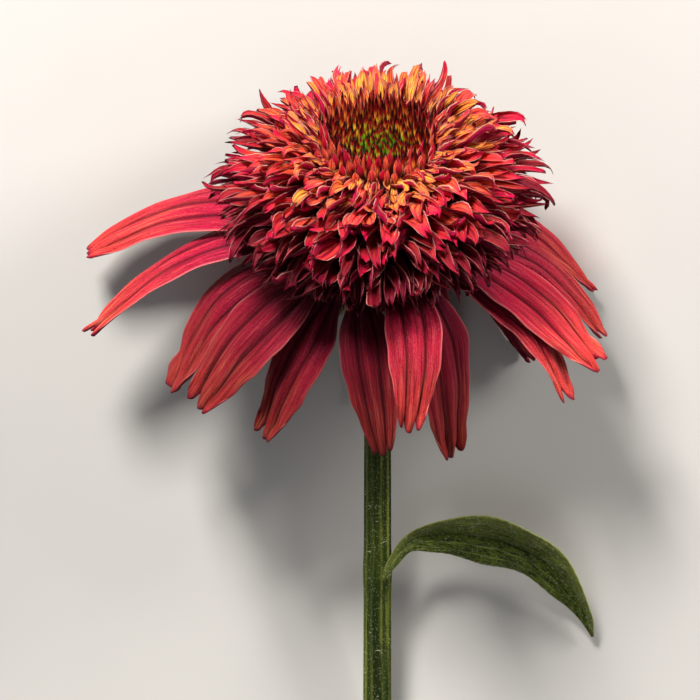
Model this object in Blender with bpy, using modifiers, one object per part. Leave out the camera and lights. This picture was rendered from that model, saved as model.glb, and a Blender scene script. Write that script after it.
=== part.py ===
"""A double coneflower bloom on its cut stem, laid on a table.

The bloom has a dense cushion of petal-like florets round a crater of disc
florets, a skirt of drooping three-toothed rays, a cup of green bracts, a
ribbed stem and one leaf. World axes: +X right, +Y from the cut end towards
the bloom, +Z up from the table. The bloom is modelled round its own axis
in the frame of the empty "head", whose local Z is the way the bloom faces
and whose local +Y (azimuth 90 degrees) is the side that lies on the table.
Lengths below are in millimetres and angles in degrees, unless they say so.
"""

import math
import random
from typing import NamedTuple

import bmesh
import bpy
from mathutils import Matrix, Vector

MM = 0.001
FULL_TURN = 2.0 * math.pi
GOLDEN_ANGLE = math.radians(137.508)
UP = Vector((0.0, 0.0, 1.0))
WELD = 0.01 * MM


class Ray(NamedTuple):
    """How one ray grows: where it starts, how it bends, and its size."""

    azimuth: float
    lift: float
    tip_azimuth: float
    tip_droop: float
    bend_lateness: float
    length: float
    width: float
    roll: float


class BractRow(NamedTuple):
    """One ring of green bracts under the bloom."""

    count: int
    radius: float
    height: float
    length: float
    droop: float


# Where the bloom stands and how far it is tipped up from the table
HEAD_CENTRE = Vector((5.0, 47.0, 29.0))
HEAD_TILT = 24.0

# Cushion of petal-like florets: matched points of the core and of the tips,
# as (radius, height) in the head's frame, from the crater rim to the skirt
CORE_POINTS = (
    (10.9, 9.4), (12.5, 9.0), (14.5, 7.2), (16.3, 4.4), (17.2, 1.0),
    (17.2, -2.5), (15.8, -6.0), (13.0, -9.3), (9.8, -11.8),
)
TIP_POINTS = (
    (12.0, 14.6), (15.4, 16.2), (20.6, 12.6), (26.0, 8.8), (30.0, 4.0),
    (31.6, -0.8), (30.2, -5.6), (26.2, -9.2), (20.6, -11.8),
)
CORE_BOTTOM = (8.4, -12.6)
CRATER_RADIUS = 10.7
CRATER_FLOOR = 5.2
CORE_SEGMENTS = 20
PETALOID_COUNT = 280
PETALOID_CROWDING = 0.80
PETALOID_INNER_WIDTH = 2.2
PETALOID_OUTER_WIDTH = 3.6
PETALOID_DEPTH = 0.42
PETALOID_INNER_BOW = 0.9
PETALOID_OUTER_BOW = -1.3
PETALOID_SINK = 1.2
PETALOID_SEED = 65
# Sections of a blade: share of its length, of its width, and of its bow
BLADE_SECTIONS = ((0.0, 0.5, 0.0), (0.44, 0.9, 1.0), (0.80, 0.95, 0.65))

# Disc florets that fill the crater
DISC_RADIUS = 10.4
DISC_BOTTOM = 5.5
DISC_TOP = 8.2
DISC_BEVEL = 0.6
DISC_COUNT = 74
DISC_REACH = 9.3
DISC_FLORET_RADIUS = 0.62
DISC_FLORET_SINK = 0.8
DISC_FLORET_POINT = 1.1
DISC_MIDDLE_HEIGHT = 11.6
DISC_EDGE_HEIGHT = 13.6
DISC_SEED = 7

# Cup of green bracts under the bloom, and where the rays spring from it
CUP_PROFILE = (
    (8.6, -12.9), (9.0, -13.4), (9.0, -15.2), (7.4, -17.2), (4.4, -19.1),
    (2.7, -19.6),
)
CUP_SEGMENTS = 18
BRACT_ROWS = (
    BractRow(13, 8.2, -16.8, 6.8, -46.0),
    BractRow(13, 6.6, -18.0, 6.4, -58.0),
)
BRACT_WIDTH = 2.2
BRACT_DEPTH = 0.4
BRACT_BOW = -0.3
BRACT_SINK = 1.4
RAY_RADIUS = 9.5
RAY_HEIGHT = -14.3

# Rays, in order round the bloom: the third to the seventh lie on the table
RAYS = (
    Ray(12, 10, -12, -58, 1.5, 44.0, 11.6, 3),
    Ray(35, 3, -8, -61, 1.2, 44.5, 11.2, 6),
    Ray(55, -12, -38, -57, 2.3, 42.0, 10.6, 0),
    Ray(75, -19, -56, -64, 2.8, 42.0, 9.6, 0),
    Ray(94, -20, 272, -68, 3.1, 42.0, 9.0, 0),
    Ray(113, -18, 232, -63, 2.7, 42.0, 9.6, 0),
    Ray(133, -9, 210, -55, 2.1, 42.0, 10.8, 0),
    Ray(154, 10, 186, -34, 1.0, 49.5, 12.8, 5),
    Ray(176, 7, 193, -41, 1.1, 48.5, 12.0, 8),
    Ray(195, -10, 196, -55, 1.9, 42.0, 12.2, 3),
    Ray(217, 2, 212, -55, 1.3, 38.0, 13.6, 0),
    Ray(238, -9, 213, -66, 1.6, 34.5, 11.8, 14),
    Ray(259, -10, 300, -72, 2.3, 34.5, 11.0, 10),
    Ray(284, 12, 255, -66, 1.4, 33.5, 11.2, 0),
    Ray(306, -6, 300, -94, 2.5, 40.0, 11.0, -4),
    Ray(328, -10, 340, -56, 1.5, 38.0, 11.8, -16),
    Ray(347, 6, 342, -49, 1.7, 40.0, 12.8, -10),
)
RAY_ROWS = 8
RAY_COLUMNS = 6
RAY_THICKNESS = 0.7
RAY_BEND_STEPS = 24
CLAW_WIDTH = 0.22
TIP_WIDTH = 0.62
FULL_WIDTH_SHARE = 0.5
NARROWING_SHARE = 0.62
TOOTH_DEPTH = 1.7
SHOULDER_DEPTH = 2.6
TIP_SHARE = 0.6
RIDGE_HEIGHT = 0.32
RAY_CAMBER = 0.85
# Middle of a blade that lies on the table, a little under half its thickness
TABLE_CLEARANCE = 0.34

# Stem, from the cup to the cut end
STEM_NECK_HEIGHT = -20.0
STEM_LENGTH = 98.0
STEM_NECK_RADIUS = 2.35
STEM_CUT_RADIUS = 2.65
STEM_RIBS = 10
STEM_GROOVE = 0.13
STEM_BEND_LENGTH = 22.0
STEM_BEND_STEPS = 12
STEM_STATIONS = (0.0, 6.0, 12.0, 18.0, 24.0, 42.0, 60.0, 78.0, STEM_LENGTH)
# How far the cut end would reach into the table before it is flattened
STEM_SINK = 0.3

# Leaf: its node down the stem, then places along its midrib with a width
LEAF_DISTANCE = 58.4
LEAF_START = Vector((3.7, 0.0, 0.0))
LEAF_STATIONS = (
    (0.0, 0.0, 0.0, 2.2), (3.2, 3.4, 0.6, 3.4), (9.0, 5.0, 0.8, 7.6),
    (17.0, 5.2, 0.2, 11.0), (25.0, 3.2, -1.4, 12.4), (31.6, -2.2, -3.6, 11.2),
    (35.6, -8.2, -5.4, 7.4), (38.2, -14.2, -6.8, 1.6),
)
LEAF_ROWS = 14
LEAF_COLUMNS = 6
LEAF_THICKNESS = 0.7
LEAF_FOLD = 0.9
LEAF_FACING = 38.0
LEAF_WAVE = 0.35
LEAF_WAVES = 4.5


def clear_scene():
    """Remove every object the file opened with."""
    for obj in list(bpy.data.objects):
        bpy.data.objects.remove(obj, do_unlink=True)


def material(name, colour, roughness):
    """Return a plain Principled material."""
    made = bpy.data.materials.new(name)
    made.use_nodes = True
    shader = made.node_tree.nodes["Principled BSDF"]
    shader.inputs["Base Color"].default_value = (*colour, 1.0)
    shader.inputs["Roughness"].default_value = roughness
    shader.inputs["Metallic"].default_value = 0.0
    return made


def add_object(name, mesh, collection, parent=None):
    """Link a mesh as a named object under its parent."""
    obj = bpy.data.objects.new(name, mesh)
    collection.objects.link(obj)
    obj.parent = parent
    return obj


def mesh_from(bm, name):
    """Write a bmesh into a new mesh and free it."""
    mesh = bpy.data.meshes.new(name)
    bm.to_mesh(mesh)
    bm.free()
    return mesh


def evaluated_mesh(obj):
    """Return a new mesh of an object as its modifiers or bevel make it."""
    bpy.context.view_layer.update()
    graph = bpy.context.evaluated_depsgraph_get()
    return bpy.data.meshes.new_from_object(obj.evaluated_get(graph))


def apply_modifiers(obj):
    """Replace an object's mesh by the one its modifiers make."""
    made = evaluated_mesh(obj)
    made.name = obj.name
    obj.modifiers.clear()
    obj.data = made


def set_finish(obj, finish):
    """Give an object one material."""
    obj.data.materials.clear()
    obj.data.materials.append(finish)


def lift_to(point, to_world, height):
    """Return a local place, raised if it lies lower over the table."""
    place = to_world @ point
    if place.z >= height:
        return point
    place.z = height
    return to_world.inverted() @ place


def press_on_table(obj):
    """Flatten whatever of an object reaches below the table on to it."""
    bpy.context.view_layer.update()
    for vertex in obj.data.vertices:
        vertex.co = lift_to(vertex.co, obj.matrix_world, 0.0)


def thicken(obj, thickness):
    """Turn a sheet of triangles into a closed blade."""
    shell = obj.modifiers.new("thickness", "SOLIDIFY")
    shell.thickness = thickness * MM
    shell.offset = 0.0
    apply_modifiers(obj)


def ease(value):
    """Return 0 to 1 with level ends for a value from 0 to 1."""
    value = min(1.0, max(0.0, value))
    return value * value * (3.0 - 2.0 * value)


def place_in(points, share):
    """Return the stretch of a list that a share falls in, and how far."""
    scaled = min(1.0, max(0.0, share)) * (len(points) - 1)
    index = min(int(scaled), len(points) - 2)
    return index, scaled - index


def along(points, share):
    """Return the place at a share, from 0 to 1, of a list of points."""
    index, part = place_in(points, share)
    return Vector(points[index]).lerp(Vector(points[index + 1]), part)


def smooth_along(points, share):
    """Return the place at a share of a smooth curve through the points."""
    index, t = place_in(points, share)
    ends = [Vector(point) for point in points[max(0, index - 1):index + 3]]
    if index == 0:
        ends.insert(0, 2.0 * ends[0] - ends[1])
    if len(ends) == 3:
        ends.append(2.0 * ends[2] - ends[1])
    before, start, end, after = ends
    slope = end - before
    curve = 2.0 * before - 5.0 * start + 4.0 * end - after
    cubic = 3.0 * start - before - 3.0 * end + after
    return 0.5 * (2.0 * start + slope * t + curve * t * t + cubic * t * t * t)


def polar(radius, azimuth, height):
    """Return a place in the head's frame in metres, from millimetres.

    The azimuth is in radians.
    """
    flat = Vector((math.cos(azimuth), math.sin(azimuth), 0.0))
    return (flat * radius + UP * height) * MM


def loft(rings, tip):
    """Return a closed bmesh through rings of equal count up to a point."""
    bm = bmesh.new()
    rows = [[bm.verts.new(point) for point in ring] for ring in rings]
    count = len(rows[0])
    bm.faces.new(list(reversed(rows[0])))
    for lower, upper in zip(rows, rows[1:]):
        for i in range(count):
            j = (i + 1) % count
            bm.faces.new((lower[i], lower[j], upper[j], upper[i]))
    point = bm.verts.new(tip)
    for i in range(count):
        bm.faces.new((rows[-1][i], rows[-1][(i + 1) % count], point))
    bmesh.ops.triangulate(bm, faces=bm.faces[:])
    bmesh.ops.recalc_face_normals(bm, faces=bm.faces[:])
    return bm


def turned(name, profile, segments, collection, parent):
    """Return a solid turned round the head's axis from (radius, height)."""
    mesh = bpy.data.meshes.new(name)
    points = [(radius * MM, 0.0, height * MM) for radius, height in profile]
    edges = [(i, i + 1) for i in range(len(points) - 1)]
    mesh.from_pydata(points, edges, [])
    obj = add_object(name, mesh, collection, parent)
    screw = obj.modifiers.new("turn", "SCREW")
    screw.steps = segments
    screw.render_steps = segments
    screw.use_merge_vertices = True
    screw.merge_threshold = WELD
    apply_modifiers(obj)
    return obj


def shell_of(face, waiting):
    """Return the faces joined to one face, taking them off the waiting."""
    shell, front = {face}, [face]
    while front:
        for edge in front.pop().edges:
            for other in edge.link_faces:
                if other in waiting:
                    waiting.remove(other)
                    shell.add(other)
                    front.append(other)
    return shell


def keep_main_shell(obj):
    """Drop loose scraps and fill sealed hollows: keep the largest shell."""
    bm = bmesh.new()
    bm.from_mesh(obj.data)
    waiting = set(bm.faces)
    shells = []
    while waiting:
        shells.append(shell_of(waiting.pop(), waiting))
    shells.sort(key=len)
    for shell in shells[:-1]:
        points = {vertex for face in shell for vertex in face.verts}
        bmesh.ops.delete(bm, geom=list(points), context="VERTS")
    bm.to_mesh(obj.data)
    bm.free()


def fuse(body, blades):
    """Join closed bmeshes that overlap a body to it, in one union."""
    pieces = bpy.data.collections.new("pieces")
    bpy.context.scene.collection.children.link(pieces)
    for blade in blades:
        add_object("piece", mesh_from(blade, "piece"), pieces, body.parent)
    union = body.modifiers.new("join", "BOOLEAN")
    union.operation = "UNION"
    union.operand_type = "COLLECTION"
    union.collection = pieces
    union.solver = "MANIFOLD"
    apply_modifiers(body)
    keep_main_shell(body)
    for piece in list(pieces.objects):
        bpy.data.objects.remove(piece, do_unlink=True)
    bpy.data.collections.remove(pieces)


def pointed_blade(root, tip, inward, width, depth, bow):
    """Return a pointed blade as a closed bmesh, from sizes in metres.

    Its three-sided section has two edges on the inner side and a keel on
    the outer side. A positive bow arches the middle outwards.
    """
    length = tip - root
    side = length.cross(inward).normalized()
    inward = side.cross(length).normalized()
    rings = []
    for share, spread, lean in BLADE_SECTIONS:
        middle = root + length * share - inward * bow * lean
        half = side * width * spread / 2.0
        deep = inward * depth * spread
        rings.append((middle + half + deep, middle - half + deep, middle - deep))
    return loft(rings, tip)


def petaloid(index, rng):
    """Return one petal-like floret of the cushion."""
    even = (index + 0.5) / PETALOID_COUNT
    share = even ** PETALOID_CROWDING + rng.uniform(-0.012, 0.012)
    share = min(1.0, max(0.0, share))
    azimuth = index * GOLDEN_ANGLE + rng.uniform(-0.05, 0.05)
    base = along(CORE_POINTS, share)
    reach = base.lerp(along(TIP_POINTS, share), rng.uniform(0.86, 1.04))
    root = polar(base.x - PETALOID_SINK, azimuth, base.y)
    tip = polar(reach.x, azimuth + rng.uniform(-0.10, 0.10), reach.y)
    inward = UP * MM - polar(0.5, azimuth, 0.0)
    growth = PETALOID_OUTER_WIDTH - PETALOID_INNER_WIDTH
    width = PETALOID_INNER_WIDTH + growth * ease(share / 0.25)
    width *= rng.uniform(0.9, 1.1)
    bow = PETALOID_INNER_BOW + (PETALOID_OUTER_BOW - PETALOID_INNER_BOW) * share
    return pointed_blade(root, tip, inward, width * MM, PETALOID_DEPTH * MM, bow * MM)


def petaloid_florets(collection, head):
    """Build the cushion: a core and the petal-like florets that cover it."""
    profile = (
        (0.0, CRATER_FLOOR), (CRATER_RADIUS, CRATER_FLOOR), *CORE_POINTS,
        CORE_BOTTOM, (0.0, CORE_BOTTOM[1]),
    )
    body = turned("petaloid_florets", profile, CORE_SEGMENTS, collection, head)
    rng = random.Random(PETALOID_SEED)
    fuse(body, [petaloid(index, rng) for index in range(PETALOID_COUNT)])
    press_on_table(body)
    return body


def disc_floret(index, rng):
    """Return one small four-sided floret of the crater."""
    share = math.sqrt((index + 0.5) / DISC_COUNT)
    azimuth = index * GOLDEN_ANGLE
    rise = (DISC_EDGE_HEIGHT - DISC_MIDDLE_HEIGHT) * share * share
    top = DISC_MIDDLE_HEIGHT + rise + rng.uniform(-0.3, 0.3)
    rings = []
    for height, size in ((DISC_TOP - DISC_FLORET_SINK, 0.8), (top - DISC_FLORET_POINT, 1.0)):
        middle = polar(DISC_REACH * share, azimuth, height)
        rings.append([
            middle + polar(DISC_FLORET_RADIUS * size, azimuth + FULL_TURN * k / 4.0, 0.0)
            for k in range(4)
        ])
    return loft(rings, polar(DISC_REACH * share, azimuth, top))


def disc_florets(collection, head):
    """Build the crater's floor and the small florets that stand on it."""
    profile = (
        (0.0, DISC_TOP), (DISC_RADIUS - DISC_BEVEL, DISC_TOP),
        (DISC_RADIUS, DISC_TOP - DISC_BEVEL), (DISC_RADIUS, DISC_BOTTOM),
        (0.0, DISC_BOTTOM),
    )
    body = turned("disc_florets", profile, CORE_SEGMENTS, collection, head)
    rng = random.Random(DISC_SEED)
    fuse(body, [disc_floret(index, rng) for index in range(DISC_COUNT)])
    return body


def bract(row, azimuth):
    """Return one green bract of a row."""
    droop = math.radians(row.droop)
    root = polar(row.radius - BRACT_SINK, azimuth, row.height)
    tip = polar(
        row.radius + row.length * math.cos(droop), azimuth,
        row.height + row.length * math.sin(droop),
    )
    return pointed_blade(
        root, tip, UP, BRACT_WIDTH * MM, BRACT_DEPTH * MM, BRACT_BOW * MM)


def involucre_bracts(collection, head):
    """Build the green cup and its two rows of spreading bracts."""
    top, bottom = CUP_PROFILE[0][1], CUP_PROFILE[-1][1]
    profile = ((0.0, top), *CUP_PROFILE, (0.0, bottom))
    body = turned("involucre_bracts", profile, CUP_SEGMENTS, collection, head)
    fuse(body, [
        bract(row, FULL_TURN * (index + 0.5 * number) / row.count)
        for number, row in enumerate(BRACT_ROWS)
        for index in range(row.count)
    ])
    return body


def heading(azimuth, lift):
    """Return a unit vector in the head's frame from two angles."""
    turn, rise = math.radians(azimuth), math.radians(lift)
    flat = Vector((math.cos(turn), math.sin(turn), 0.0))
    return flat * math.cos(rise) + UP * math.sin(rise)


def ray_frames(ray):
    """Return the places, headings and side vectors along one ray."""
    start = heading(ray.azimuth, ray.lift)
    end = heading(ray.tip_azimuth, ray.tip_droop)
    place = polar(RAY_RADIUS, math.radians(ray.azimuth), RAY_HEIGHT)
    side = UP.cross(start).normalized()
    frames = [(place, start, side)]
    for index in range(RAY_BEND_STEPS):
        share = (index + 0.5) / RAY_BEND_STEPS
        turned_share = 1.0 - (1.0 - share) ** ray.bend_lateness
        way = start.lerp(end, turned_share).normalized()
        side = (side - way * side.dot(way)).normalized()
        place = place + way * ray.length * MM / RAY_BEND_STEPS
        frames.append((place, way, side))
    return frames


def frame_at(frames, share):
    """Return the blended frame at a share of a list of frames."""
    index, part = place_in(frames, share)
    return [a.lerp(b, part) for a, b in zip(frames[index], frames[index + 1])]


def ray_width(share):
    """Return the width at a share of the length, as part of the full width."""
    widening = CLAW_WIDTH + (1.0 - CLAW_WIDTH) * ease(share / FULL_WIDTH_SHARE)
    past = (share - NARROWING_SHARE) / (1.0 - NARROWING_SHARE)
    return widening * (1.0 - (1.0 - TIP_WIDTH) * ease(past))


def ray_point(ray, frames, across, share):
    """Return a place on the middle sheet of a ray.

    Across runs from -1 to 1 and the share from the claw, 0, to the tip, 1.
    Three ridges run to the three teeth, with a groove between each two.
    """
    groove = 0.5 - 0.5 * math.cos(3.0 * math.pi * across)
    cut = TOOTH_DEPTH * groove * (1.0 - across * across) + SHOULDER_DEPTH * across ** 4
    drawn_back = share - ease((share - TIP_SHARE) / (1.0 - TIP_SHARE)) * cut / ray.length
    place, way, side = frame_at(frames, drawn_back)
    side = Matrix.Rotation(math.radians(ray.roll) * ease(share), 3, way) @ side
    upward = way.cross(side).normalized()
    spread = ray_width(share)
    rise = -RIDGE_HEIGHT * groove * ease(share / 0.3) - RAY_CAMBER * spread * across ** 2
    return place + side * across * ray.width * MM * spread / 2.0 + upward * rise * MM


def ray_floret(name, ray, collection, head):
    """Build one ray: ridged lengthwise, arched, and three-toothed."""
    frames = ray_frames(ray)
    bm = bmesh.new()
    bmesh.ops.create_grid(bm, x_segments=RAY_COLUMNS, y_segments=RAY_ROWS, size=1.0)
    for vertex in bm.verts:
        point = ray_point(ray, frames, vertex.co.x, 0.5 + 0.5 * vertex.co.y)
        vertex.co = lift_to(point, head.matrix_world, TABLE_CLEARANCE * MM)
    bmesh.ops.triangulate(bm, faces=bm.faces[:])
    obj = add_object(name, mesh_from(bm, name), collection, head)
    thicken(obj, RAY_THICKNESS)
    press_on_table(obj)
    return obj


def stem_way(slope):
    """Return the heading down the stem where it has a slope in radians."""
    return Vector((0.0, -math.cos(slope), -math.sin(slope)))


def stem_neck():
    """Return where the stem meets the cup, in millimetres."""
    return HEAD_CENTRE + stem_way(math.radians(HEAD_TILT)) * -STEM_NECK_HEIGHT


def stem_slope():
    """Return the slope, in radians, that brings the cut end to the table."""
    cut_height = STEM_CUT_RADIUS - STEM_SINK
    drop_in_bend = STEM_BEND_LENGTH * math.sin(math.radians(HEAD_TILT)) / 2.0
    run = STEM_LENGTH - STEM_BEND_LENGTH / 2.0
    return math.asin((stem_neck().z - cut_height - drop_in_bend) / run)


def stem_middle(distance):
    """Return a place on the stem's middle line, in millimetres down it."""
    tilt, slope = math.radians(HEAD_TILT), stem_slope()
    bent = min(distance, STEM_BEND_LENGTH)
    place = stem_neck()
    for index in range(STEM_BEND_STEPS):
        share = (index + 0.5) / STEM_BEND_STEPS * bent / STEM_BEND_LENGTH
        place += stem_way(tilt + (slope - tilt) * share) * bent / STEM_BEND_STEPS
    return place + stem_way(slope) * (distance - bent)


def stem_section(collection):
    """Return the stem's ribbed outline, of unit size, as a closed curve."""
    curve = bpy.data.curves.new("stem_section", "CURVE")
    outline = curve.splines.new("POLY")
    outline.points.add(2 * STEM_RIBS - 1)
    for index, point in enumerate(outline.points):
        radius = MM * (1.0 - STEM_GROOVE * (index % 2))
        angle = FULL_TURN * index / (2 * STEM_RIBS)
        point.co = (radius * math.cos(angle), radius * math.sin(angle), 0.0, 1.0)
    outline.use_cyclic_u = True
    return add_object("stem_section", curve, collection)


def stem(collection):
    """Build the ribbed stem as a swept curve, welded into a mesh."""
    section = stem_section(collection)
    path = bpy.data.curves.new("stem_path", "CURVE")
    path.dimensions = "3D"
    path.bevel_mode = "OBJECT"
    path.bevel_object = section
    path.use_fill_caps = True
    line = path.splines.new("POLY")
    line.points.add(len(STEM_STATIONS) - 1)
    growth = STEM_CUT_RADIUS - STEM_NECK_RADIUS
    for point, station in zip(line.points, STEM_STATIONS):
        point.co = (*(stem_middle(station) * MM), 1.0)
        point.radius = STEM_NECK_RADIUS + growth * station / STEM_LENGTH
    swept = add_object("stem_path", path, collection)
    bm = bmesh.new()
    bm.from_mesh(evaluated_mesh(swept))
    bmesh.ops.remove_doubles(bm, verts=bm.verts[:], dist=WELD)
    bmesh.ops.triangulate(bm, faces=bm.faces[:])
    bmesh.ops.recalc_face_normals(bm, faces=bm.faces[:])
    bpy.data.objects.remove(swept, do_unlink=True)
    bpy.data.objects.remove(section, do_unlink=True)
    obj = add_object("stem", mesh_from(bm, "stem"), collection)
    press_on_table(obj)
    return obj


def leaf_point(node, across, share):
    """Return a place on the middle sheet of the leaf, in millimetres."""
    station = smooth_along(LEAF_STATIONS, share)
    ahead = smooth_along(LEAF_STATIONS, share + 0.01)
    behind = smooth_along(LEAF_STATIONS, share - 0.01)
    way = (ahead - behind).to_3d().normalized()
    facing = math.radians(LEAF_FACING) * ease(share / 0.3)
    side = Matrix.Rotation(facing, 3, way) @ way.cross(UP).normalized()
    upward = side.cross(way).normalized()
    body = ease(share / 0.2) * ease((1.0 - share) / 0.15)
    wave = math.sin(LEAF_WAVES * FULL_TURN * share) * across * across
    rise = (LEAF_FOLD * abs(across) + LEAF_WAVE * wave) * body
    return node + station.to_3d() + side * across * station.w / 2.0 + upward * rise


def leaf(collection):
    """Build the leaf: folded along its midrib, with waved edges."""
    node = stem_middle(LEAF_DISTANCE) + LEAF_START
    bm = bmesh.new()
    bmesh.ops.create_grid(bm, x_segments=LEAF_COLUMNS, y_segments=LEAF_ROWS, size=1.0)
    for vertex in bm.verts:
        vertex.co = leaf_point(node, vertex.co.x, 0.5 + 0.5 * vertex.co.y) * MM
    bmesh.ops.triangulate(bm, faces=bm.faces[:])
    obj = add_object("leaf", mesh_from(bm, "leaf"), collection)
    thicken(obj, LEAF_THICKNESS)
    press_on_table(obj)
    return obj


def main():
    """Build the flower."""
    clear_scene()
    flower = bpy.data.collections.new("double_coneflower")
    bpy.context.scene.collection.children.link(flower)
    head = bpy.data.objects.new("head", None)
    flower.objects.link(head)
    head.location = HEAD_CENTRE * MM
    head.rotation_euler = (math.radians(HEAD_TILT - 90.0), 0.0, 0.0)
    bpy.context.view_layer.update()

    coral = material("coral_petaloids", (0.62, 0.10, 0.08), 0.60)
    crimson = material("crimson_rays", (0.50, 0.05, 0.07), 0.55)
    disc = material("disc_green_and_red", (0.30, 0.10, 0.03), 0.60)
    bract_green = material("bract_green", (0.10, 0.17, 0.04), 0.65)
    stem_green = material("stem_green", (0.13, 0.20, 0.06), 0.60)
    leaf_green = material("leaf_green", (0.08, 0.13, 0.04), 0.65)

    set_finish(petaloid_florets(flower, head), coral)
    set_finish(disc_florets(flower, head), disc)
    set_finish(involucre_bracts(flower, head), bract_green)
    for number, ray in enumerate(RAYS, start=1):
        set_finish(ray_floret(f"ray_floret_{number:02d}", ray, flower, head), crimson)
    set_finish(stem(flower), stem_green)
    set_finish(leaf(flower), leaf_green)


main()
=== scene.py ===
"""Dresses the picked double coneflower: its florets, rays, stem, leaf, table and light.

World axes, in metres: +X right, +Y from the cut end of the stem towards the
bloom, +Z up from the table. The bloom is laid out in its own frame, whose Z
is the way that the bloom faces and whose +Y side lies on the table. Sizes in
the classes are in millimetres, except where they are said to be in metres.
Slopes and the angles of the rays are in degrees, and the azimuths, folds,
twists and yaws of florets and bracts are in radians.
"""

import logging
import math
import random
from dataclasses import dataclass, fields
from enum import Enum
from typing import Any, Iterable, Sequence

import bpy
import numpy as np
from mathutils import Matrix, Vector


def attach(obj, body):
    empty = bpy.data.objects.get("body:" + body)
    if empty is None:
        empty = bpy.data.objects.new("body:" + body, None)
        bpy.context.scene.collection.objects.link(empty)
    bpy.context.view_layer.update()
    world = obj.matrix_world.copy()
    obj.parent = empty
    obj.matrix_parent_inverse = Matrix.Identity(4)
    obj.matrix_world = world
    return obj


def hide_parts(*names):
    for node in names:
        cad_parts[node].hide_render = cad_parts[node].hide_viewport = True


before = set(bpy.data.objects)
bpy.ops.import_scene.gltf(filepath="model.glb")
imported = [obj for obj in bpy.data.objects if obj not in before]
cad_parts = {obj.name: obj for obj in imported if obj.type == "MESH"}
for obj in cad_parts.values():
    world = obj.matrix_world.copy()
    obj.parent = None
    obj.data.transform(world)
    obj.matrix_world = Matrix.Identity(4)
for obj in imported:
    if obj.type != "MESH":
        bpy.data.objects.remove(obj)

LOG = logging.getLogger("coneflower")
MM = 0.001
FULL_TURN = 2.0 * math.pi
GOLDEN_ANGLE = math.radians(137.508)
UP = Vector((0.0, 0.0, 1.0))
Colour = tuple[float, float, float]
Pair = tuple[float, float]
Triple = tuple[float, float, float]

HEAD_CENTRE = Vector((5.0, 47.0, 29.0))
HEAD_TILT = 24.0
GREEN_VELVET = (0.7, 1.0, 0.3)
EDGE_THINNESS = 0.35


def hue(code: str) -> Colour:
    """Turn a six-figure screen colour into the linear one that shaders use.

    Args:
        code: Red, green and blue as two hexadecimal figures each.

    Returns:
        The linear colour.
    """
    parts = [int(code[i:i + 2], 16) / 255.0 for i in (0, 2, 4)]
    linear = [p / 12.92 if p < 0.04045 else ((p + 0.055) / 1.055) ** 2.4 for p in parts]
    return (linear[0], linear[1], linear[2])


def ease(value: Any) -> Any:
    """Return a smooth step from 0 to 1 with level ends, for numbers or arrays."""
    value = np.clip(value, 0.0, 1.0)
    return value * value * (3.0 - 2.0 * value)


def either_way(rng: random.Random, most: float) -> float:
    """Return a random number no further from nought than the most."""
    return rng.uniform(-most, most)


def head_frame() -> Matrix:
    """Return the matrix from the bloom's frame to the world, in metres."""
    turn = Matrix.Rotation(math.radians(HEAD_TILT - 90.0), 4, "X")
    return Matrix.Translation(HEAD_CENTRE * MM) @ turn


def polar(radius: float, azimuth: float, height: float) -> Vector:
    """Find a place in the bloom's frame, in the units of its sizes.

    Args:
        radius: Distance from the bloom's axis.
        azimuth: Angle round the axis, in radians.
        height: Height along the axis.

    Returns:
        The place.
    """
    return Vector((radius * math.cos(azimuth), radius * math.sin(azimuth), height))


def set_in_world(points: Iterable[Vector]) -> list[Vector]:
    """Return places in the bloom's frame, in millimetres, as world places in metres."""
    place = head_frame()
    return [place @ (point * MM) for point in points]


def sideways(azimuth: float, yaw: Pair = (0.0, 0.0)) -> Vector:
    """Find the direction that runs round the bloom's axis at an azimuth.

    Args:
        azimuth: Angle round the axis, in radians.
        yaw: How far the direction turns outwards and how far it rises.

    Returns:
        The direction in the world.
    """
    return head_frame().to_3x3() @ polar(1.0, azimuth + FULL_TURN / 4.0 + yaw[0], yaw[1])


def along(points: Sequence[Pair], share: float) -> Vector:
    """Walk along a polyline.

    Args:
        points: Its (radius, height) corners, evenly spaced in share.
        share: How far to walk, from 0 to 1.

    Returns:
        The place there.
    """
    scaled = min(1.0, max(0.0, share)) * (len(points) - 1)
    index = min(int(scaled), len(points) - 2)
    return Vector(points[index]).lerp(Vector(points[index + 1]), scaled - index)


class Value:
    """A socket of a node tree that sums can be written on as on a number."""

    def __init__(self, graph: "Graph", socket: bpy.types.NodeSocket) -> None:
        """Keep the socket and the graph that it belongs to."""
        self.graph = graph
        self.socket = socket

    def __add__(self, other: Any) -> "Value":
        """Return the sum."""
        return self.graph.work("ADD", self, other)

    def __sub__(self, other: Any) -> "Value":
        """Return the difference."""
        return self.graph.work("SUBTRACT", self, other)

    def __rsub__(self, other: Any) -> "Value":
        """Return the difference from a plain number."""
        return self.graph.work("SUBTRACT", other, self)

    def __mul__(self, other: Any) -> "Value":
        """Return the product, with a plain number last."""
        return self.graph.work("MULTIPLY", self, other)

    def __pow__(self, power: Any) -> "Value":
        """Return the power."""
        return self.graph.work("POWER", self, power)

    def __abs__(self) -> "Value":
        """Return the size without its sign."""
        return self.graph.work("ABSOLUTE", self)

    __radd__ = __add__
    __rmul__ = __mul__

    def is_vector(self) -> bool:
        """Tell whether the socket carries three numbers."""
        return self.socket.type in ("VECTOR", "RGBA")

    def parts(self) -> tuple["Value", "Value", "Value"]:
        """Return the three numbers of a vector."""
        node = self.graph.node("ShaderNodeSeparateXYZ", {0: self})
        return tuple(Value(self.graph, socket) for socket in node.outputs)


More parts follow.
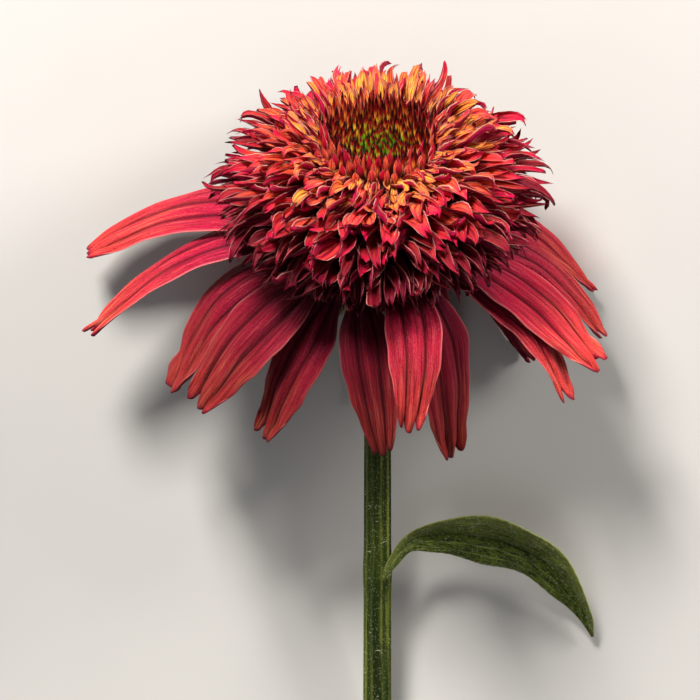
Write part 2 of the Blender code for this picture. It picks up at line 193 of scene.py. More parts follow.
class Graph:
    """A node tree, for a shader or for geometry, that is built by code."""

    def __init__(self, tree: bpy.types.NodeTree) -> None:
        """Keep the tree."""
        self.tree = tree

    def node(self, kind: str, inputs: dict | None = None, **settings: Any) -> bpy.types.Node:
        """Add a node.

        Args:
            kind: The node's type name.
            inputs: Values or plain numbers by the input's name or number.
            settings: Properties of the node itself.

        Returns:
            The new node.
        """
        made = self.tree.nodes.new(kind)
        for name, value in settings.items():
            setattr(made, name, value)
        for key, value in (inputs or {}).items():
            self.feed(made.inputs[key], value)
        return made

    def feed(self, socket: bpy.types.NodeSocket, value: Any) -> None:
        """Link a value to an input, or set the input to a plain number.

        Args:
            socket: The input.
            value: A value of this graph or a plain number.
        """
        if isinstance(value, Value):
            self.tree.links.new(value.socket, socket)
        else:
            socket.default_value = value

    def out(self, node: bpy.types.Node, key: int | str = 0) -> Value:
        """Return one output of a node as a value."""
        return Value(self, node.outputs[key])

    def work(self, operation: str, *terms: Any) -> Value:
        """Do a sum on numbers or vectors.

        Args:
            operation: The name of the sum in the math nodes.
            terms: What it works on, values or plain numbers.

        Returns:
            The result.
        """
        flat = [not (isinstance(t, tuple) or isinstance(t, Value) and t.is_vector())
                for t in terms]
        inputs = dict(enumerate(terms))
        if all(flat):
            return self.out(self.node("ShaderNodeMath", inputs, operation=operation))
        if operation == "MULTIPLY" and any(flat):
            vector, factor = terms if flat[1] else reversed(terms)
            inputs, operation = {0: vector, 3: factor}, "SCALE"
        node = self.node("ShaderNodeVectorMath", inputs, operation=operation)
        return self.out(node, "Value" if operation == "DOT_PRODUCT" else 0)

    def ramp(self, value: Value, low: float, high: float) -> Value:
        """Return a smooth step of a value: 0 at the low end and 1 at the high end."""
        inputs = {0: value, 1: low, 2: high, 3: 0.0, 4: 1.0}
        return self.out(self.node("ShaderNodeMapRange", inputs, interpolation_type="SMOOTHSTEP"))

    def join(self, x: Any, y: Any, z: Any) -> Value:
        """Return the vector of three numbers."""
        return self.out(self.node("ShaderNodeCombineXYZ", {0: x, 1: y, 2: z}))

    def noise(self, place: Value, scale: float, detail: float = 2.0,
              roughness: float = 0.5) -> Value:
        """Return a soft noise from 0 to 1 at a place."""
        inputs = {"Vector": place, "Scale": scale, "Detail": detail, "Roughness": roughness}
        return self.out(self.node("ShaderNodeTexNoise", inputs))


class Finish:
    """A surface: a material whose colour and relief its own nodes make."""

    SHEEN_ROUGHNESS = 0.4
    GLOW = 0.25
    GLOW_REACH = (1.0, 0.35, 0.2)

    def __init__(self, name: str, roughness: float, sheen: float = 0.0, soft: float = 0.0,
                 gloss: float = 0.25, velvet: Colour = (1.0, 0.25, 0.25)) -> None:
        """Start a plain material.

        Args:
            name: The material's name.
            roughness: From 0, a mirror, to 1, chalk.
            sheen: How much velvet shows at grazing angles.
            soft: How far light passes under the skin, in millimetres.
            gloss: How strong its highlights are.
            velvet: The colour of the velvet.
        """
        self.material = bpy.data.materials.new(name)
        self.material.use_nodes = True
        self.graph = Graph(self.material.node_tree)
        self.shader = self.material.node_tree.nodes["Principled BSDF"]
        settings = {
            "Roughness": roughness, "Specular IOR Level": gloss, "Sheen Weight": sheen,
            "Sheen Roughness": self.SHEEN_ROUGHNESS, "Sheen Tint": (*velvet, 1.0)}
        if soft:
            settings |= {
                "Subsurface Weight": self.GLOW, "Subsurface Radius": self.GLOW_REACH,
                "Subsurface Scale": soft * MM}
        for key, value in settings.items():
            self.shader.inputs[key].default_value = value

    def mark(self, name: str, output: str = "Vector") -> Value:
        """Return what the mesh carries at each point by that name."""
        node = self.graph.node("ShaderNodeAttribute", attribute_name=name)
        return self.graph.out(node, output)

    def numbers(self, *names: str) -> tuple[Value, ...]:
        """Return the single numbers that the mesh carries at each point."""
        return tuple(self.mark(name, "Fac") for name in names)

    def place(self) -> Value:
        """Return the place on the object, in metres."""
        return self.graph.out(self.graph.node("ShaderNodeTexCoord"), "Object")

    def blend(self, share: Any, first: Any, second: Any) -> Value:
        """Mix two colours.

        Args:
            share: How much of the second shows, from 0 to 1.
            first: A colour or the value of one.
            second: A colour or the value of one.

        Returns:
            The mixed colour.
        """
        inputs = {0: share}
        for key, colour in ((6, first), (7, second)):
            inputs[key] = (*colour, 1.0) if isinstance(colour, tuple) else colour
        node = self.graph.node("ShaderNodeMix", inputs, data_type="RGBA", clamp_factor=True)
        return self.graph.out(node, 2)

    def layers(self, base: Any, *coats: tuple[Any, Any]) -> Any:
        """Lay colours over a base.

        Args:
            base: The colour underneath.
            coats: The share and the colour of each coat, the topmost last.

        Returns:
            The mixed colour.
        """
        for share, colour in coats:
            base = self.blend(share, base, colour)
        return base

    def finish(self, colour: Value, relief: Value, depth: float) -> bpy.types.Material:
        """Lead the colour and the relief to the shader.

        Args:
            colour: The base colour.
            relief: Height from 0 to 1.
            depth: Height of the relief, in millimetres.

        Returns:
            The finished material.
        """
        inputs = {"Height": relief, "Strength": 1.0, "Distance": depth * MM}
        bump = self.graph.node("ShaderNodeBump", inputs)
        self.graph.feed(self.shader.inputs["Base Color"], colour)
        self.graph.feed(self.shader.inputs["Normal"], self.graph.out(bump))
        return self.material


@dataclass(frozen=True)
class PetaloidFinish:
    """Petal-like florets: coral to orange inside, crimson outside, pale rims.

    Painted shade darkens them towards their roots, down the channels of the lower rows and over
    the lower rows, and the pale rims are partly painted highlight.
    """

    coral: Colour = hue("fa4230")
    orange: Colour = hue("ffac38")
    crimson: Colour = hue("cc003e")
    # Pale pink of the rims: partly their own paler colour, partly painted highlight; also used for
    # pale flecks.
    rim: Colour = hue("ffbcae")
    back: Colour = hue("a4003e")
    # Near-black crimson: painted shade towards the roots and in the channels, and also the fine
    # dark veins and the dark lines between the ribs and inside the rims.
    deep: Colour = hue("26000a")
    ribs: float = 1.5
    relief: float = 0.2

    def build(self) -> bpy.types.Material:
        """Build the nodes.

        Returns:
            The material.
        """
        f = Finish("petaloid_floret", 0.42, sheen=0.04, soft=0.5, gloss=0.14)
        g = f.graph
        across, length, face = f.mark("grain").parts()
        share, tint = f.numbers("share", "tint")
        side = abs(across)
        own = g.work("FRACT", tint * 17.0)
        streaks = g.noise(g.join(across * 2.4 + tint * 31.0, length * 0.8, share * 9.0), 2.6, 3.0)
        fine = g.noise(g.join(across * 9.0, length * 1.2, tint * 60.0), 2.0, 3.0, 0.6)
        phase = across * (self.ribs * FULL_TURN) + (streaks - 0.5) * 5.0
        ribs = g.work("COSINE", phase) * 0.5 + 0.5
        warm = g.ramp(tint * 0.9 - share * 1.9 + streaks * 0.5, -0.2, 0.7)
        tip = g.ramp(length + (fine - 0.5) * 0.3, 0.70, 0.98)
        inner = f.layers(
            self.coral,
            (warm, self.orange),
            (g.ramp(own, 0.45, 1.0) * (1.0 - warm) * 0.8, self.crimson),
            (g.ramp(share, 0.18, 0.5) * 0.25, self.crimson),
            (g.ramp(ribs, 0.6, 0.15) * 0.55, self.crimson),
            (g.ramp(ribs, 0.3, 0.0) * g.ramp(length, 1.0, 0.5) * 0.75, self.deep),
            (g.ramp(fine, 0.52, 0.72) * g.ramp(share, -0.1, 0.4) * 0.65, self.deep),
            (g.ramp(fine, 0.40, 0.26) * 0.5, self.rim),
            # painted shade towards the root, deep in the cushion
            (g.ramp(length, 0.5, 0.05) * 0.85, self.deep),
            (tip * (1.0 - warm * 0.5) * 0.9, self.crimson))
        outer = f.layers(
            self.back,
            (g.ramp(streaks, 0.4, 0.8) * 0.5, self.coral),
            (g.ramp(fine, 0.48, 0.7) * 0.65, self.deep),
            # painted shade towards the root of the back
            (g.ramp(length, 0.6, 0.0) * 0.85, self.deep))
        # channel: painted shade down the middle of the channel on the lower rows, short of the tip
        channel = g.ramp(side, 0.62, 0.1) * g.ramp(share, 0.35, 0.6) * g.ramp(length, 1.0, 0.7)
        body = f.layers(
            outer,
            (g.ramp(face, -0.3, 0.3), inner),
            (g.ramp(side, 0.60, 0.84) * g.ramp(side, 1.0, 0.86) * 0.6, self.deep),
            (channel * 0.55, self.deep),
            # the lower rows turn to the crimson of the backs: partly their own darker colour,
            # partly painted shade
            (g.ramp(share, 0.40, 0.9) * 0.6, self.back))
        # shade: painted shade over the lower rows, partly their own darker colour, times a random
        # brightness of each floret
        shade = (1.06 - g.ramp(share, 0.28, 0.85) * 0.84) * (own * 0.5 + 0.80)
        # rim: painted highlight along the rims, partly their own paler pink; on the lower rows it
        # turns crimson under the painted shade
        rim = g.ramp(side, 0.84, 1.0) * g.ramp(length, 0.25, 0.6) * g.ramp(streaks, 0.3, 0.6)
        edge = f.blend(g.ramp(share, 0.3, 0.9) * 0.65, self.rim, self.crimson)
        colour = f.blend(rim * (own * 0.3 + 0.7), body * shade, edge)
        return f.finish(colour, ribs * 0.6 + fine * 0.5, self.relief)


@dataclass(frozen=True)
class RayFinish:
    """Rays: crimson at the claw, coral in the middle and salmon at the teeth.

    Painted shade darkens their grooves, painted light brightens lit streaks, and each ray's colour
    is scaled by its own painted light and shade.
    """

    claw: Colour = hue("6a0030")
    middle: Colour = hue("b40836")
    tooth: Colour = hue("d03c36")
    lit: Colour = hue("f49068")
    # Near-black: the fine dark streaks and specks, and painted shade in the grooves.
    groove: Colour = hue("1c0006")
    rim: Colour = hue("f48484")
    relief: float = 0.26

    def build(self) -> bpy.types.Material:
        """Build the nodes.

        Returns:
            The material.
        """
        f = Finish("ray_floret", 0.5, sheen=0.03, soft=0.4, gloss=0.08)
        g = f.graph
        across, length, face = f.mark("grain").parts()
        tone, seed, deep = f.numbers("tone", "tint", "deep")
        broad = g.join(across * 3.0 + seed * 23.0, length * 0.9, seed * 7.0)
        streaks = g.noise(broad, 4.0, 4.0, 0.6)
        fine = g.noise(g.join(across * 20.0, length * 2.2, seed * 50.0), 2.0, 4.0, 0.65)
        velvet = g.noise(g.join(across * 30.0, length * 110.0, seed * 30.0), 2.0, 3.0, 0.7)
        reach = length + (streaks - 0.5) * 0.7 + (seed - 0.5) * 0.05
        colour = f.layers(
            self.claw,
            (g.ramp(reach, 0.05, 0.6), self.middle),
            (g.ramp(reach, 0.45, 1.05), self.tooth),
            (g.ramp(streaks, 0.52, 0.70) * g.ramp(length, 0.4, 0.9) * 0.5, self.lit),
            (g.ramp(fine, 0.48, 0.66) * 0.8, self.groove),
            (g.ramp(fine, 0.44, 0.28) * 0.45, self.rim),
            (g.ramp(velvet, 0.48, 0.66) * 0.65, self.groove),
            (g.ramp(velvet, 0.46, 0.30) * 0.4, self.rim),
            # painted shade in the grooves
            (g.ramp(deep, 0.15, 1.1) * 0.8, self.groove),
            (g.ramp(abs(across), 0.93, 1.0) * 0.6, self.rim),
            (g.ramp(face, 0.2, -0.2) * 0.45, self.claw),
            (g.ramp(length, 0.965, 1.0) * 0.7, self.claw))
        # painted light and shade: each ray's colour scaled as a whole
        return f.finish(colour * tone, fine * 0.6 + velvet * 0.7 - deep * 0.4, self.relief)


@dataclass(frozen=True)
class DiscFinish:
    """Disc florets: green, yellow or orange shafts with dark red tips, darkened towards their feet
    by painted shade among the crowded shafts.
    """

    green: Colour = hue("6aa414")
    yellow: Colour = hue("f0c034")
    orange: Colour = hue("fc9440")
    red: Colour = hue("8a0c14")
    # Near-black: the very tips, and painted shade towards the feet.
    tip: Colour = hue("2a0206")

    def build(self) -> bpy.types.Material:
        """Build the nodes.

        Returns:
            The material.
        """
        f = Finish("disc_floret", 0.4, soft=0.3)
        g = f.graph
        across, length, _ = f.mark("grain").parts()
        share, tint = f.numbers("share", "tint")
        spot = share + (tint - 0.5) * 0.35
        bend = length + (tint - 0.5) * 0.2 + share * 0.1
        colour = f.layers(
            self.green,
            (g.ramp(spot, 0.25, 0.5), self.yellow),
            (g.ramp(spot, 0.4, 0.8), self.orange),
            # painted shade towards the feet of the shafts
            (g.ramp(length, 0.6, 0.15) * 0.85, self.tip),
            (g.ramp(bend, 0.55, 0.78), self.red),
            (g.ramp(bend, 0.80, 0.92), self.tip))
        ribs = g.work("SINE", across * 9.0 + tint * 6.0) * 0.5 + 0.5
        return f.finish(colour, ribs, 0.05)


@dataclass(frozen=True)
class BudFinish:
    """Short closed florets round the crater: dark crimson with a lit rim."""

    dark: Colour = hue("3c000c")
    red: Colour = hue("a8062a")
    orange: Colour = hue("ee7c3c")
    rim: Colour = hue("ff9a94")

    def build(self) -> bpy.types.Material:
        """Build the nodes.

        Returns:
            The material.
        """
        f = Finish("crater_bud", 0.4, sheen=0.1, soft=0.4)
        g = f.graph
        across, length, face = f.mark("grain").parts()
        tint, = f.numbers("tint")
        streaks = g.noise(g.join(across * 2.0 + tint * 19.0, length, tint * 5.0), 3.0, 3.0)
        colour = f.layers(
            self.dark,
            (g.ramp(length, 0.45, 0.75), self.red),
            (g.ramp(streaks + tint * 0.4, 0.7, 1.0) * 0.7, self.orange),
            (g.ramp(face, -0.3, 0.3) * 0.4, self.orange),
            (g.ramp(abs(across), 0.7, 1.0) * g.ramp(length, 0.4, 0.7) * 0.7, self.rim),
            (g.ramp(length, 0.86, 1.0) * 0.8, self.dark))
        return f.finish(colour, streaks, 0.12)


@dataclass(frozen=True)
class GreenFinish:
    """Green parts with pale ridges, dark grooves and a fine grain."""

    name: str = "stem_skin"
    ridge: Colour = hue("7c8026")
    groove: Colour = hue("162206")
    middle: Colour = hue("36460c")
    pith: Colour = hue("c9cf98")
    ribs: float = 10.0

    def build(self) -> bpy.types.Material:
        """Build the nodes.

        Returns:
            The material.
        """
        f = Finish(self.name, 0.5, sheen=0.1, gloss=0.16, velvet=GREEN_VELVET)
        g = f.graph
        around, length, depth = f.mark("grain").parts()
        angle = around * FULL_TURN
        turn = g.join(g.work("COSINE", angle), g.work("SINE", angle), length * 0.035)
        grain = g.noise(turn, 26.0, 4.0, 0.65)
        broad = g.noise(turn, 2.2, 2.0)
        blotch = g.noise(f.place(), 180.0, 2.0)
        phase = around * (self.ribs * FULL_TURN) + (broad - 0.5) * 2.0
        ridge = g.work("COSINE", phase) * 0.5 + 0.5
        crest = g.ramp(ridge + (grain - 0.5) * 1.6 + (broad - 0.5) * 2.4, 0.7, 1.3)
        colour = f.layers(
            self.groove,
            (g.ramp(grain * 0.5 + broad * 0.5, 0.4, 0.62), self.middle),
            (crest * 0.85, self.ridge),
            (g.ramp(grain, 0.52, 0.72) * 0.6, self.groove),
            (g.ramp(blotch, 0.45, 0.75) * 0.45, self.groove),
            (g.ramp(depth, 0.05, 0.3), self.pith))
        return f.finish(colour, grain * 0.8 + ridge * 0.2, 0.16)


@dataclass(frozen=True)
class LeafFinish:
    """The leaf: dark olive with pale veins, a rough skin and a brown tip."""

    blade: Colour = hue("66761f")
    dark: Colour = hue("1c2606")
    vein: Colour = hue("b0b660")
    brown: Colour = hue("6b4a2a")
    side_veins: tuple[Triple, ...] = ((0.36, 0.034, 0.9), (0.68, 0.03, 0.6))
    relief: float = 0.6

    def build(self) -> bpy.types.Material:
        """Build the nodes.

        Returns:
            The material.
        """
        f = Finish("leaf_skin", 0.5, sheen=0.15, gloss=0.16, velvet=GREEN_VELVET)
        g = f.graph
        across, length, face = f.mark("grain").parts()
        side = abs(across)
        mottle = g.noise(g.join(across * 3.0, length * 9.0, 0.0), 2.2, 4.0, 0.6)
        crumple = g.noise(g.join(across * 9.0, length * 26.0, 0.0), 2.0, 5.0, 0.72)
        pits = g.noise(g.join(across * 26.0, length * 90.0, 3.0), 2.0, 2.0)
        fan = g.ramp(length, -0.02, 0.35)
        veins = g.ramp(side, 0.05, 0.015)
        for reach, width, weight in self.side_veins:
            offset = abs(side - fan * reach - (mottle - 0.5) * 0.06)
            veins = g.work("MAXIMUM", veins, g.ramp(offset, width, 0.006) * weight)
        colour = f.layers(
            self.dark,
            (g.ramp(mottle * 0.4 + crumple * 0.6, 0.41, 0.59), self.blade),
            (g.ramp(pits, 0.5, 0.75) * 0.5, self.dark),
            (g.ramp(across, 0.2, -0.9) * 0.25, self.vein),
            (veins * g.ramp(length, 1.0, 0.6) * 0.8, self.vein),
            (g.ramp(side, 0.93, 1.0) * 0.5, self.vein),
            (g.ramp(length + (mottle - 0.5) * 0.04, 0.95, 1.0), self.brown),
            (g.ramp(face, 0.1, -0.1) * 0.35, self.vein))
        return f.finish(colour, crumple * 0.8 + pits * 0.3 - veins * 0.6, self.relief)


@dataclass(frozen=True)
class PlainFinish:
    """A quiet surface of one hue that a soft noise breaks up."""

    name: str
    light: Colour
    dark: Colour
    roughness: float = 0.6
    scale: float = 300.0
    relief: float = 0.05

    def build(self) -> bpy.types.Material:
        """Build the nodes.

        Returns:
            The material.
        """
        f = Finish(self.name, self.roughness)
        cloud = f.graph.noise(f.place(), self.scale, 4.0, 0.6)
        colour = f.blend(f.graph.ramp(cloud, 0.3, 0.7), self.dark, self.light)
        return f.finish(colour, cloud, self.relief)


class Section(Enum):
    """The cross-section of a blade: a flat strap or a round shaft."""

    STRAP = "strap"
    SHAFT = "shaft"


@dataclass
class Blade:
    """One floret or bract: a curve with a width, in metres and world axes."""

    root: Vector
    first: Vector
    second: Vector
    tip: Vector
    side: Vector
    width: float
    depth: float
    cup: float = 0.0
    point: float = 0.95
    lobes: float = 0.0
    split: float = 0.0
    twist: float = 0.0
    frill: float = 0.0
    share: float = 0.0
    tint: float = 0.5


@dataclass(frozen=True)
class BladeOutline:
    """The unit blade that every floret is bent from.

    Its points are (across, along, face): across and face from -1 to 1, and
    along from 0 at the root to 1 at the tip.
    """

    section: Section
    stations: tuple[float, ...]

    def ring(self) -> list[Pair]:
        """Lay out the cross-section.

        Returns:
            Its (across, face) corners, upper side first.
        """
        if self.section is Section.STRAP:
            upper = [(u, 1.0) for u in (-0.5, 0.0, 0.5)]
            lower = [(u, -1.0) for u in (0.5, 0.0, -0.5)]
            return [(-1.0, 0.5), *upper, (1.0, 0.5), *lower]
        return [(math.cos(a), math.sin(a)) for a in np.linspace(math.pi, -math.pi, 7)[:-1]]

    def build(self, name: str) -> bpy.types.Object:
        """Build the unit blade.

        Args:
            name: The object's name.

        Returns:
            A closed mesh object.
        """
        ring = self.ring()
        count = len(ring)
        points = [(u, v, w) for v in self.stations for u, w in ring]
        faces = []
        for row in range(len(self.stations) - 1):
            low, high = row * count, (row + 1) * count
            for i in range(count):
                j = (i + 1) % count
                faces.append((low + i, high + i, high + j, low + j))
        last = (len(self.stations) - 1) * count
        faces.append(tuple(range(count)))
        faces.append(tuple(last + i for i in reversed(range(count))))
        made = mesh_object(name, points, faces)
        if self.section is Section.STRAP:
            for edge in made.data.edges:
                edge.use_edge_sharp = all(v % count in (0, count // 2) for v in edge.vertices)
        return made


def mesh_object(name: str, points: Iterable, faces: Iterable,
                marks: dict[str, np.ndarray] | None = None) -> bpy.types.Object:
    """Make an object of points and faces, smooth shaded.

    Args:
        name: The object's name.
        points: Places in metres.
        faces: Point numbers of each face.
        marks: Numbers or vectors that each point carries, by name.

    Returns:
        The new object, linked to the scene.
    """
    mesh = bpy.data.meshes.new(name)
    mesh.from_pydata([tuple(p) for p in points], [], [tuple(f) for f in faces])
    for key, values in (marks or {}).items():
        add_mark(mesh, key, values)
    mesh.shade_smooth()
    made = bpy.data.objects.new(name, mesh)
    bpy.context.scene.collection.objects.link(made)
    return made


def add_mark(mesh: bpy.types.Mesh, name: str, values: Any) -> None:
    """Give each point of a mesh a number or a vector.

    Args:
        mesh: The mesh.
        name: What the mark is called.
        values: One number or vector for each point.
    """
    array = np.asarray(values, dtype=np.float32)
    kind, key = ("FLOAT", "value") if array.ndim == 1 else ("FLOAT_VECTOR", "vector")
    mesh.attributes.new(name, kind, "POINT").data.foreach_set(key, array.ravel())


def evaluated(obj: bpy.types.Object, name: str) -> bpy.types.Object:
    """Return what an object's modifiers make as a new plain object, and drop the old one.

    Args:
        obj: The object with its modifiers.
        name: The new object's name.

    Returns:
        The plain object.
    """
    bpy.context.view_layer.update()
    graph = bpy.context.evaluated_depsgraph_get()
    mesh = bpy.data.meshes.new_from_object(
        obj.evaluated_get(graph), preserve_all_data_layers=True, depsgraph=graph)
    bpy.data.objects.remove(obj, do_unlink=True)
    mesh.name = name
    made = bpy.data.objects.new(name, mesh)
    bpy.context.scene.collection.objects.link(made)
    return made


def dress(obj: bpy.types.Object, material: bpy.types.Material, slot: str,
          *nodes: str) -> None:
    """Give a piece its material and tie it to the model.

    Args:
        obj: The piece.
        material: Its finish.
        slot: The material slot of the record that it stands for; not used.
        nodes: The solids that it takes the place of.
    """
    obj.data.materials.clear()
    obj.data.materials.append(material)
    obj.data.polygons.foreach_set("material_index", [0] * len(obj.data.polygons))
    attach(obj, "root")
    if nodes:
        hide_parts(*nodes)
    LOG.info("%s: %d faces", obj.name, len(obj.data.polygons))


class GeometryTree:
    """A geometry node tree with named inputs, ready to go on an object."""

    def __init__(self, name: str, inputs: dict[str, str]) -> None:
        """Start an empty tree.

        Args:
            name: The tree's name.
            inputs: The kind of each input by its name, besides the geometry and
                the finish that every tree has.
        """
        self.tree = bpy.data.node_groups.new(name, "GeometryNodeTree")
        self.graph = Graph(self.tree)
        self.keys: dict[str, str] = {}
        self.tree.interface.new_socket(
            "Geometry", in_out="OUTPUT", socket_type="NodeSocketGeometry")
        for key, kind in ({"Geometry": "Geometry", "Finish": "Material"} | inputs).items():
            socket = self.tree.interface.new_socket(
                key, in_out="INPUT", socket_type=f"NodeSocket{kind}")
            self.keys[key] = socket.identifier
        self.source = self.tree.nodes.new("NodeGroupInput")

    def given(self, name: str) -> Value:
        """Return a named input as a value."""
        return Value(self.graph, self.source.outputs[name])

    def mark(self, name: str, kind: str = "FLOAT") -> Value:
        """Return what the geometry carries by that name."""
        node = self.graph.node("GeometryNodeInputNamedAttribute", {0: name}, data_type=kind)
        return self.graph.out(node)

    def close(self, geometry: Value) -> None:
        """End the tree: instances made real, smooth, with their material.

        Args:
            geometry: What the tree has made.
        """
        g = self.graph
        real = g.out(g.node("GeometryNodeRealizeInstances", {0: geometry}))
        smooth = g.out(g.node("GeometryNodeSetShadeSmooth", {0: real, 2: True}))
        painted = g.node("GeometryNodeSetMaterial", {0: smooth, 2: self.given("Finish")})
        sink = self.tree.nodes.new("NodeGroupOutput")
        self.tree.links.new(painted.outputs[0], sink.inputs[0])

    def run(self, obj: bpy.types.Object, name: str, values: dict[str, Any]) -> bpy.types.Object:
        """Run the tree on an object.

        Args:
            obj: The object, which is used up.
            name: The name of the result.
            values: The tree's inputs by name.

        Returns:
            The result as a plain object.
        """
        modifier = obj.modifiers.new("grow", "NODES")
        modifier.node_group = self.tree
        for key, value in values.items():
            modifier[self.keys[key]] = value
        return evaluated(obj, name)


class BladeTree(GeometryTree):
    """Bends a copy of the unit blade along each point's own curve."""

    VECTORS = ("root", "first", "second", "tip", "side")
    TEETH_FROM = 0.62
    CORNER_DRAW = 0.07
    SLIM_FROM = 0.55
    SLIM_POWER = 1.8
    ROOT_WIDTH = 0.45
    FULL_WIDTH_AT = 0.5
    RIPPLE_TURN = 8.0
    FOLD_AT_ROOT = 1.15
    FOLD_FALL = 0.4
    LEAST_FOLD = 0.05
    TABLE_CLEARANCE = 0.00008

    def __init__(self) -> None:
        """Build the tree."""
        super().__init__("grow_blades", {"Outline": "Object", "Table height": "Float"})
        g = self.graph
        outline = g.out(g.node("GeometryNodeObjectInfo", {0: self.given("Outline")}), "Geometry")
        copies = g.node("GeometryNodeInstanceOnPoints", {0: self.given("Geometry"), 2: outline})
        real = g.out(g.node("GeometryNodeRealizeInstances", {0: g.out(copies)}))
        root = self.mark("root", "FLOAT_VECTOR")
        local = g.out(g.node("GeometryNodeInputPosition")) - root
        marked = g.node("GeometryNodeStoreNamedAttribute", {0: real, 2: "grain", 3: local},
                        data_type="FLOAT_VECTOR", domain="POINT")
        placed = g.node("GeometryNodeSetPosition", {0: g.out(marked), 2: self.spot()})
        self.close(g.out(placed))

    def spot(self) -> Value:
        """Bend the unit blade: its curve, teeth, width, channel and twist.

        Returns:
            Where each point of the blade goes.
        """
        g = self.graph
        across, length, face = self.mark("grain", "FLOAT_VECTOR").parts()
        root, first, second, tip, side = (self.mark(n, "FLOAT_VECTOR") for n in self.VECTORS)
        teeth = 1.0 - abs(abs(across) * 2.0 - 1.0)
        cleft = g.work("MAXIMUM", 1.0 - abs(across) * 2.0, 0.0)
        drawn = (self.mark("lobes") * teeth + self.mark("split") * cleft
                 + across * across * self.CORNER_DRAW)
        v = length - g.ramp(length, self.TEETH_FROM, 1.0) * drawn
        rest = 1.0 - v
        curve = (root * (rest * rest * rest) + first * (rest * rest * v * 3.0)
                 + second * (rest * v * v * 3.0) + tip * (v * v * v))
        way = g.work("NORMALIZE", (first - root) * (rest * rest)
                     + (second - first) * (rest * v * 2.0) + (tip - second) * (v * v))
        turned_side = g.out(g.node(
            "ShaderNodeVectorRotate", {0: side, 2: way, 3: self.mark("twist") * v},
            rotation_type="AXIS_ANGLE"))
        level = g.work(
            "NORMALIZE", turned_side - way * g.work("DOT_PRODUCT", turned_side, way))
        raised = g.work("CROSS_PRODUCT", way, level)
        past = (length - self.SLIM_FROM) * (1.0 / (1.0 - self.SLIM_FROM))
        slim = g.work("MAXIMUM", past, 0.0) ** self.SLIM_POWER
        swell = g.ramp(length, -0.1, self.FULL_WIDTH_AT) * (1.0 - self.ROOT_WIDTH)
        spread = (swell + self.ROOT_WIDTH) * (1.0 - self.mark("point") * slim)
        half = self.mark("width") * spread * 0.5
        phase = length * self.RIPPLE_TURN + self.mark("tint") * 40.0
        ripple = g.work("SINE", phase) * self.mark("frill") * across
        wanted = self.mark("cup") * (self.FOLD_AT_ROOT - length * self.FOLD_FALL)
        fold = g.work("MAXIMUM", wanted, self.LEAST_FOLD)
        angle = fold * across
        skin = self.mark("depth") * spread * face * 0.5
        sine, cosine = g.work("SINE", angle), g.work("COSINE", angle)
        aside = half * g.work("DIVIDE", sine, fold) - skin * sine
        lift = half * (g.work("DIVIDE", 1.0 - cosine, fold) + ripple) + skin * cosine
        x, y, z = (curve + level * aside + raised * lift).parts()
        floor = self.given("Table height") + (face + 1.0) * self.TABLE_CLEARANCE
        return g.join(x, y, g.work("MAXIMUM", z, floor))


class HairTree(GeometryTree):
    """Scatters leaning hairs over a skin."""

    def __init__(self) -> None:
        """Build the tree."""
        super().__init__("grow_hairs", {
            "Hair": "Object", "Density": "Float", "Least length": "Float",
            "Greatest length": "Float", "Lean": "Float", "Seed": "Int"})
        g = self.graph
        lean, seed = self.given("Lean"), self.given("Seed")
        scatter = g.node("GeometryNodeDistributePointsOnFaces", {
            0: self.given("Geometry"), "Density": self.given("Density"), "Seed": seed})
        tilt = g.node("FunctionNodeRandomValue", {
            0: g.join(lean * -1.0, lean * -1.0, 0.0), 1: g.join(lean, lean, FULL_TURN),
            8: seed}, data_type="FLOAT_VECTOR")
        euler = g.out(g.node("FunctionNodeEulerToRotation", {0: g.out(tilt)}))
        turn = g.node("FunctionNodeRotateRotation", {0: g.out(scatter, "Rotation"), 1: euler},
                      rotation_space="LOCAL")
        size = g.node("FunctionNodeRandomValue", {
            2: self.given("Least length"), 3: self.given("Greatest length"),
            8: seed + 5.0}, data_type="FLOAT")
        long = g.out(size, 1)
        hair = g.out(g.node("GeometryNodeObjectInfo", {0: self.given("Hair")}), "Geometry")
        copies = g.out(g.node("GeometryNodeInstanceOnPoints", {
            0: g.out(scatter), 2: hair, 5: g.out(turn), 6: g.join(long, long, long)}))
        real = g.out(g.node("GeometryNodeRealizeInstances", {0: copies}))
        x, y, z = g.out(g.node("GeometryNodeInputPosition")).parts()
        above = g.join(x, y, g.work("MAXIMUM", z, 0.0))
        self.close(g.out(g.node("GeometryNodeSetPosition", {0: real, 2: above})))


@dataclass(frozen=True)
class Hairs:
    """The hairs of a skin: how many to a square millimetre, and their sizes.

    They lean by up to so many degrees from upright, and each skin has a seed of
    its own.
    """

    density: float
    least: float
    greatest: float
    lean: float
    radius: float
    seed: int


